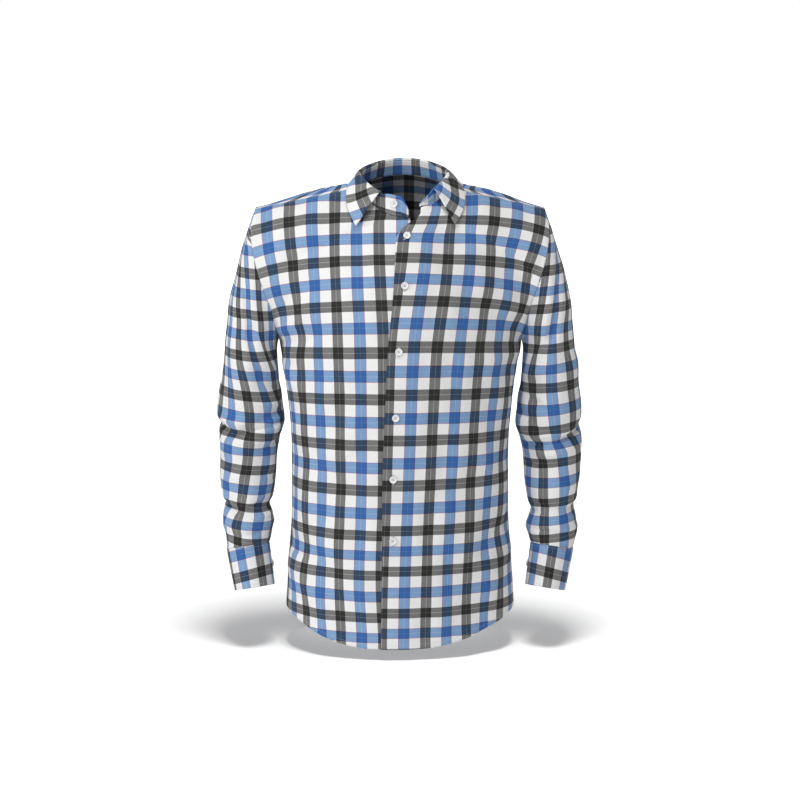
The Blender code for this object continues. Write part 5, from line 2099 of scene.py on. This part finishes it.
ARM_CROWDING = {    # how close the bands round the arm lie, by height
    Side.RIGHT: table(
        Width,
        (-0.42, 1.0), (-0.324, 0.86), (-0.28, 0.74), (-0.243, 0.62), (-0.04, 0.56),
    ),
    Side.LEFT: table(
        Width,
        (-0.42, 1.0), (-0.33, 1.06), (-0.28, 0.95), (-0.24, 0.8), (-0.04, 0.74),
    ),
}
ARM_LINE = {        # the band that an arm's other ones are counted from
    Side.RIGHT: table(
        Width,
        (-0.04, -0.243), (-0.097, -0.2415), (-0.163, -0.2397), (-0.204, -0.2384), (-0.243, -0.2342),
        (-0.28, -0.2263), (-0.324, -0.2152), (-0.364, -0.2085), (-0.417, -0.2104), (-0.482, -0.2184),
        (-0.54, -0.2278),
    ),
    Side.LEFT: table(
        Width,
        (-0.04, 0.236), (-0.1283, 0.2288), (-0.249, 0.214), (-0.3412, 0.2085), (-0.386, 0.2125),
        (-0.4373, 0.226), (-0.4732, 0.2278), (-0.5607, 0.23),
    ),
}


@dataclass(frozen=True)
class Studio:
    """A plain pale floor, soft light and the camera at the photograph's angle."""

    floor_z: float = -0.7405
    floor_reach: float = 14.0
    distance: float = 4.5
    pitch: float = math.radians(10.0)
    look_z: float = -0.345
    pixels_per_metre: float = 625.0     # at the point that the camera looks at
    frame_pixels: float = 800.0
    sensor: float = 36.0
    aim_z: float = -0.3         # where the lamps point
    ambient: float = 0.06       # how strongly the surround lights the scene
    floor_glow: tuple[float, ...] = (1.2, 5.0, 0.32, 0.95)      # two distances, and the glow at each
    floor_haze: tuple[float, ...] = (0.6, 1.9, 0.0, 0.68)       # the same for what only the camera sees

    def camera(self) -> None:
        """Set the camera where the photograph was taken from."""
        data = bpy.data.cameras.new("camera")
        data.sensor_width = self.sensor
        data.lens = self.pixels_per_metre * self.distance * self.sensor / self.frame_pixels
        data.clip_end = 50.0
        obj = bpy.data.objects.new("camera", data)
        obj.location = (
            0.0, -self.distance * math.cos(self.pitch), self.look_z + self.distance * math.sin(self.pitch)
        )
        obj.rotation_euler = (math.pi / 2 - self.pitch, 0.0, 0.0)
        bpy.context.scene.collection.objects.link(obj)
        bpy.context.scene.camera = obj

    @staticmethod
    def by_distance(g: Graph, away: Socket, near: float, far: float, low: float, high: float) -> Socket:
        """Make a value that changes with the distance.

        Args:
            g: the graph to add the node to.
            away: the distance.
            near, far: between which distances it changes.
            low, high: its value at each.

        Returns:
            The value.
        """
        ramp = g.node("ShaderNodeMapRange", interpolation_type="SMOOTHSTEP")
        for name, value in (("From Min", near), ("From Max", far), ("To Min", low), ("To Max", high)):
            ramp.inputs[name].default_value = value
        g.feed(ramp.inputs["Value"], away)
        return ramp.outputs["Result"]

    def floor(self) -> bpy.types.Object:
        """Lay the floor.

        Returns:
            Its object.
        """
        bm = bmesh.new()
        level = Matrix.Translation((0, 0, self.floor_z))
        bmesh.ops.create_grid(bm, x_segments=2, y_segments=2, size=self.floor_reach, matrix=level)
        obj = from_bmesh(bm, "floor")
        material, shader, g = new_material(
            "pale_floor", Roughness=0.9, Specular_IOR_Level=0.1, Emission_Color=(1.0, 1.0, 1.0, 1.0),
        )
        place = g.node("ShaderNodeTexCoord").outputs["Object"]
        tone = g.blend(g.noise(place, 3.0), (0.9, 0.9, 0.9, 1.0), (0.92, 0.92, 0.92, 1.0))
        g.feed(shader.inputs["Base Color"], tone)
        away = g.node("ShaderNodeVectorMath", operation="LENGTH")
        g.feed(away.inputs[0], place)
        seen = g.node("ShaderNodeLightPath").outputs["Is Camera Ray"]
        glow = self.by_distance(g, away.outputs["Value"], *self.floor_glow)
        haze = self.by_distance(g, away.outputs["Value"], *self.floor_haze)
        g.feed(shader.inputs["Emission Strength"], g.math("MULTIPLY_ADD", seen, haze, glow))
        obj.data.materials.append(material)
        return obj

    def light(self, ground: bpy.types.Object) -> None:
        """Hang the lamps and the white surround. One lamp lights the floor alone, the others the shirt.

        Args:
            ground: the floor.
        """
        aim = Vector((0.0, 0.0, self.aim_z))
        for name, at, size, power in (
            ("side", (-4.2, -2.0, 1.0), 1.3, 78.0), ("front", (-2.0, -3.5, 1.6), 1.3, 40.0),
            ("top", (-0.3, -1.4, 2.6), 0.9, 33.0), ("low_top", (0.5, -1.6, 2.4), 0.9, 22.0),
            ("rim", (0.4, 2.4, 2.8), 2.0, 44.0), ("ground", (0.1, -0.6, 2.8), 0.9, 102.0),
        ):
            data = bpy.data.lights.new(name, "AREA")
            data.energy = power
            data.size = size
            obj = bpy.data.objects.new(name, data)
            obj.location = at
            obj.rotation_euler = (aim - Vector(at)).to_track_quat("-Z", "Y").to_euler()
            bpy.context.scene.collection.objects.link(obj)
            lit = bpy.data.collections.new("lit_by_" + name)
            lit.objects.link(ground)
            lit.collection_objects[0].light_linking.link_state = "INCLUDE" if name == "ground" else "EXCLUDE"
            obj.light_linking.receiver_collection = lit
        world = bpy.data.worlds.new("surround")
        world.use_nodes = True
        surround = world.node_tree.nodes["Background"]
        surround.inputs["Color"].default_value = (1.0, 1.0, 1.0, 1.0)
        g = Graph(world.node_tree)
        seen = g.node("ShaderNodeLightPath").outputs["Is Camera Ray"]
        g.feed(surround.inputs["Strength"], g.math("MULTIPLY_ADD", seen, 1.0 - self.ambient, self.ambient))
        bpy.context.scene.world = world
        bpy.context.scene.view_settings.view_transform = "Standard"

    def build(self) -> None:
        """Set up the studio."""
        ground = self.floor()
        self.light(ground)
        self.camera()


@dataclass
class Shirt:
    """The whole shirt: all its pieces of cloth, its buttons and its sewing."""

    pattern: Pattern = field(default_factory=Pattern)
    rings: tuple[Ring, ...] = table(
        Ring,
        (0.3, 0.2375, 0.003, -0.262, 0.0415, 0.064), (0.4, 0.24, 0.005, -0.312, 0.0465, 0.063),
        (0.52, 0.2395, 0.009, -0.377, 0.0525, 0.06), (0.6, 0.2435, 0.009, -0.42, 0.0475, 0.057),
        (0.7, 0.2445, 0.005, -0.472, 0.0445, 0.053), (0.8, 0.2455, -0.001, -0.52, 0.0385, 0.049),
        (0.91, 0.244, -0.007, -0.558, 0.038, 0.046), (1.0, 0.2425, -0.012, -0.58, 0.034, 0.041),
    )
    cuff_rings: tuple[Ring, ...] = table(
        Ring,
        (0.0, 0.245, -0.0122, -0.5806, 0.0344, 0.0416), (1.0, 0.234, -0.026, -0.646, 0.0322, 0.04),
    )
    button_heights: tuple[float, ...] = (-0.07, -0.144, -0.2455, -0.35, -0.449, -0.547)
    collar_button: tuple[float, float] = (0.052, 0.6)       # on the stand, like its buttonhole
    collar_hole: tuple[float, float] = (0.962, 0.52)
    cuff_button: tuple[float, float] = (0.972, 0.5)

    def front(self, side: Side) -> FrontPanel:
        """Lay out one front with the folds seen in the photograph.

        Args:
            side: which one.

        Returns:
            The front panel.
        """
        right = side is Side.RIGHT
        return FrontPanel(
            self.pattern, "front_" + side.word, "front_cloth", 84, 250, (0.29, 0.745), 0.186,
            facing=float(side.value), hold=(0, 1, 0, 1), rests_on=("yoke",), side=side,
            folds=FRONT_FOLDS[side], creases=FRONT_CREASES[side],
            ripples=Ripples(3 if right else 5, depth=0.0014, lean=0.45), bands=FRONT_BANDS[side],
            grey_line=FRONT_GREY[side], neck_rise=0.004 if right else -0.0024,
        )

    def back(self) -> BackPanel:
        """Lay out the back, whose bands meet the right front's at the side seams.

        Returns:
            The back panel.
        """
        return BackPanel(
            self.pattern, "back", "back_cloth", 150, 216, (0.49, 0.67), 0.29, facing=-1.0, hold=(1, 1, 0, 1),
            rests_on=("yoke",), bands=FRONT_BANDS[Side.RIGHT], folds=BACK_FOLDS, creases=BACK_CREASES,
            ripples=Ripples(8, depth=0.0014, lean=0.35),
        )

    def sleeve(self, side: Side) -> Sleeve:
        """Lay out one sleeve.

        Args:
            side: which arm.

        Returns:
            The sleeve.
        """
        right = side is Side.RIGHT
        around = (1 - np.cos(np.linspace(0, 2 * math.pi, 121))) / 2
        return Sleeve(
            self.pattern, "sleeve_" + side.word, "sleeve_cloth", 120, 230, (0.36, 0.575), 0.148,
            facing=-float(side.value), around=True, hold=(0, 0, 1 + around, 1), side=side,
            rests_on=("yoke",), rings=self.rings, cuff_rings=self.cuff_rings,
            fold_lift=0.0 if right else 0.008, fold_depth=1.0 if right else 0.9, folds=ARM_FOLDS,
            creases=ARM_CREASES[side], ripples=Ripples(21 if right else 27, depth=0.0012),
            bands=ARM_BANDS[side], line_count=-1.0 if right else 0.0, crowding=ARM_CROWDING[side],
            grey_line=ARM_LINE[side],
        )

    def cuff(self, side: Side) -> Cuff:
        """Lay out one cuff.

        Args:
            side: which arm.

        Returns:
            The cuff.
        """
        right = side is Side.RIGHT
        return Cuff(
            self.pattern, "cuff_" + side.word, "cuff_cloth", 132, 30, (0.253, 0.067), 0.0169,
            wall=FOLDED_WALL, facing=-float(side.value), hold=(0, 0, 1.5, 0), side=side,
            rings=self.cuff_rings, grey_turn=72.0 if right else 144.0, blue_v=0.16 if right else 0.12,
            rests_on=("sleeve_" + side.word,),
        )

    def placket(self, sleeve: Sleeve) -> SleevePlacket:
        """Lay out the placket on one sleeve.

        Args:
            sleeve: the sleeve that it lies on.

        Returns:
            The placket.
        """
        return SleevePlacket(
            self.pattern, "sleeve_placket_" + sleeve.side.word, "placket_cloth", 12, 60, (0.021, 0.1),
            0.0016, facing=sleeve.facing, hold=(0, 0, 0, 1), side=sleeve.side, on=sleeve,
            rests_on=(sleeve.name,), held="laid",
        )

    def collar(self) -> tuple[CollarStand, CollarLeaf]:
        """Lay out the collar's stand and leaf.

        Returns:
            The stand and the leaf.
        """
        stand = CollarStand(
            self.pattern, "collar_stand", "collar_cloth", 220, 16, (0.425, 0.034), 0.01, wall=FOLDED_WALL,
            facing=-1.0, rests_on=("yoke",),
        )
        leaf = CollarLeaf(
            self.pattern, "collar_leaf", "collar_cloth", 220, 48, (0.42, 0.078), 0.0185, held="folded",
            wall=FOLDED_WALL, facing=1.0, stand=stand, rests_on=("collar_stand",),
            edge_rows=table(
                LeafRow,
                (-151.0, -0.069, -0.089, -0.0552), (-138.0, -0.08, -0.071, -0.0335),
                (-110.0, -0.084, -0.042, -0.004), (-80.0, -0.078, 0.0, 0.0058),
                (-45.0, -0.055, 0.044, 0.006), (0.0, 0.006, 0.071, 0.003), (45.0, 0.068, 0.044, 0.006),
                (80.0, 0.093, 0.0, 0.0064), (109.0, 0.1, -0.042, -0.004), (132.0, 0.098, -0.07, -0.0336),
                (142.0, 0.086, -0.088, -0.0534),
            ),
        )
        return stand, leaf

    def find_front(self, front: FrontPanel, z: float) -> tuple[float, float]:
        """Find where the button line crosses a height on the left front, in its own directions.

        Args:
            front: the left front.
            z: the height.

        Returns:
            Its (u, v).
        """
        v = np.linspace(0.0, self.pattern.v_pit - 0.01, 800)
        at_v = float(v[np.argmin(np.abs(front.place(np.full_like(v, 0.1), v)[..., 2] - z))])
        u = np.linspace(0.0, 1.0, 800)
        x = float(read(self.pattern.centre_line, "z", "x", np.array(z)))
        return float(u[np.argmin(np.abs(front.place(u, np.full_like(u, at_v))[..., 0] - x))]), at_v

    def build(self) -> None:
        """Make, sew and dress every piece."""
        groups = WeaveGroups(YarnColours())
        thread = SewingThread().material()
        plastic = ButtonPlastic().material()
        right, left = (self.front(side) for side in Side)
        stand, leaf = self.collar()
        sleeves = [self.sleeve(side) for side in Side]
        cuffs = [self.cuff(side) for side in Side]
        pieces: list[ClothPiece] = [
            right, left, self.back(),
            Yoke(
                self.pattern, "yoke", "yoke_cloth", 150, 52, (0.48, 0.19), 0.074, facing=1.0,
                hold=(1, 1, 1, 1), held="laid",
            ),
            *sleeves, *cuffs, *(self.placket(sleeve) for sleeve in sleeves), stand, leaf,
        ]
        cloths: dict[str, bpy.types.Material] = {}
        for piece in pieces:
            if piece.slot not in cloths:
                cloths[piece.slot] = CheckCloth(piece.slot).material(groups)
            obj = piece.build()
            seams = SEAMS.get(type(piece), ())
            sewn = []
            if seams:
                stitching = Stitching(piece, seams)
                sewn.append(stitching.build())
                stitching.dress(sewn[0], thread)
            piece.dress(obj, cloths[piece.slot], sewn)
            log.info("%s: %d faces, %d rows of stitches", obj.name, len(obj.data.polygons), len(seams))
        buttons = [
            Button(f"button_front_{number}", left, *self.find_front(left, z))
            for number, z in enumerate(self.button_heights, 1)
        ]
        holes = [Buttonhole(left, button.u, button.v) for button in buttons]
        buttons.append(Button("button_collar", stand, *self.collar_button))
        holes.append(Buttonhole(stand, *self.collar_hole, upright=False))
        for cuff in cuffs:
            buttons.append(Button("button_" + cuff.name, cuff, *self.cuff_button))
            holes.append(Buttonhole(cuff, *self.cuff_button, upright=False))
        for button in buttons:
            disc, sewn_on = button.build(), button.thread()
            button.dress(disc, sewn_on, plastic, thread)
            log.info("%s: sewn to %s", disc.name, button.on.name)
        for number, hole in enumerate(holes, 1):
            hole.dress(hole.build(f"buttonhole_{number}"), thread)
        log.info("%d buttonholes worked", len(holes))


def main() -> None:
    """Build the shirt and its studio."""
    logging.basicConfig(level=logging.INFO, format="%(message)s")
    Shirt().build()
    Studio().build()


if __name__ == "__main__":
    main()
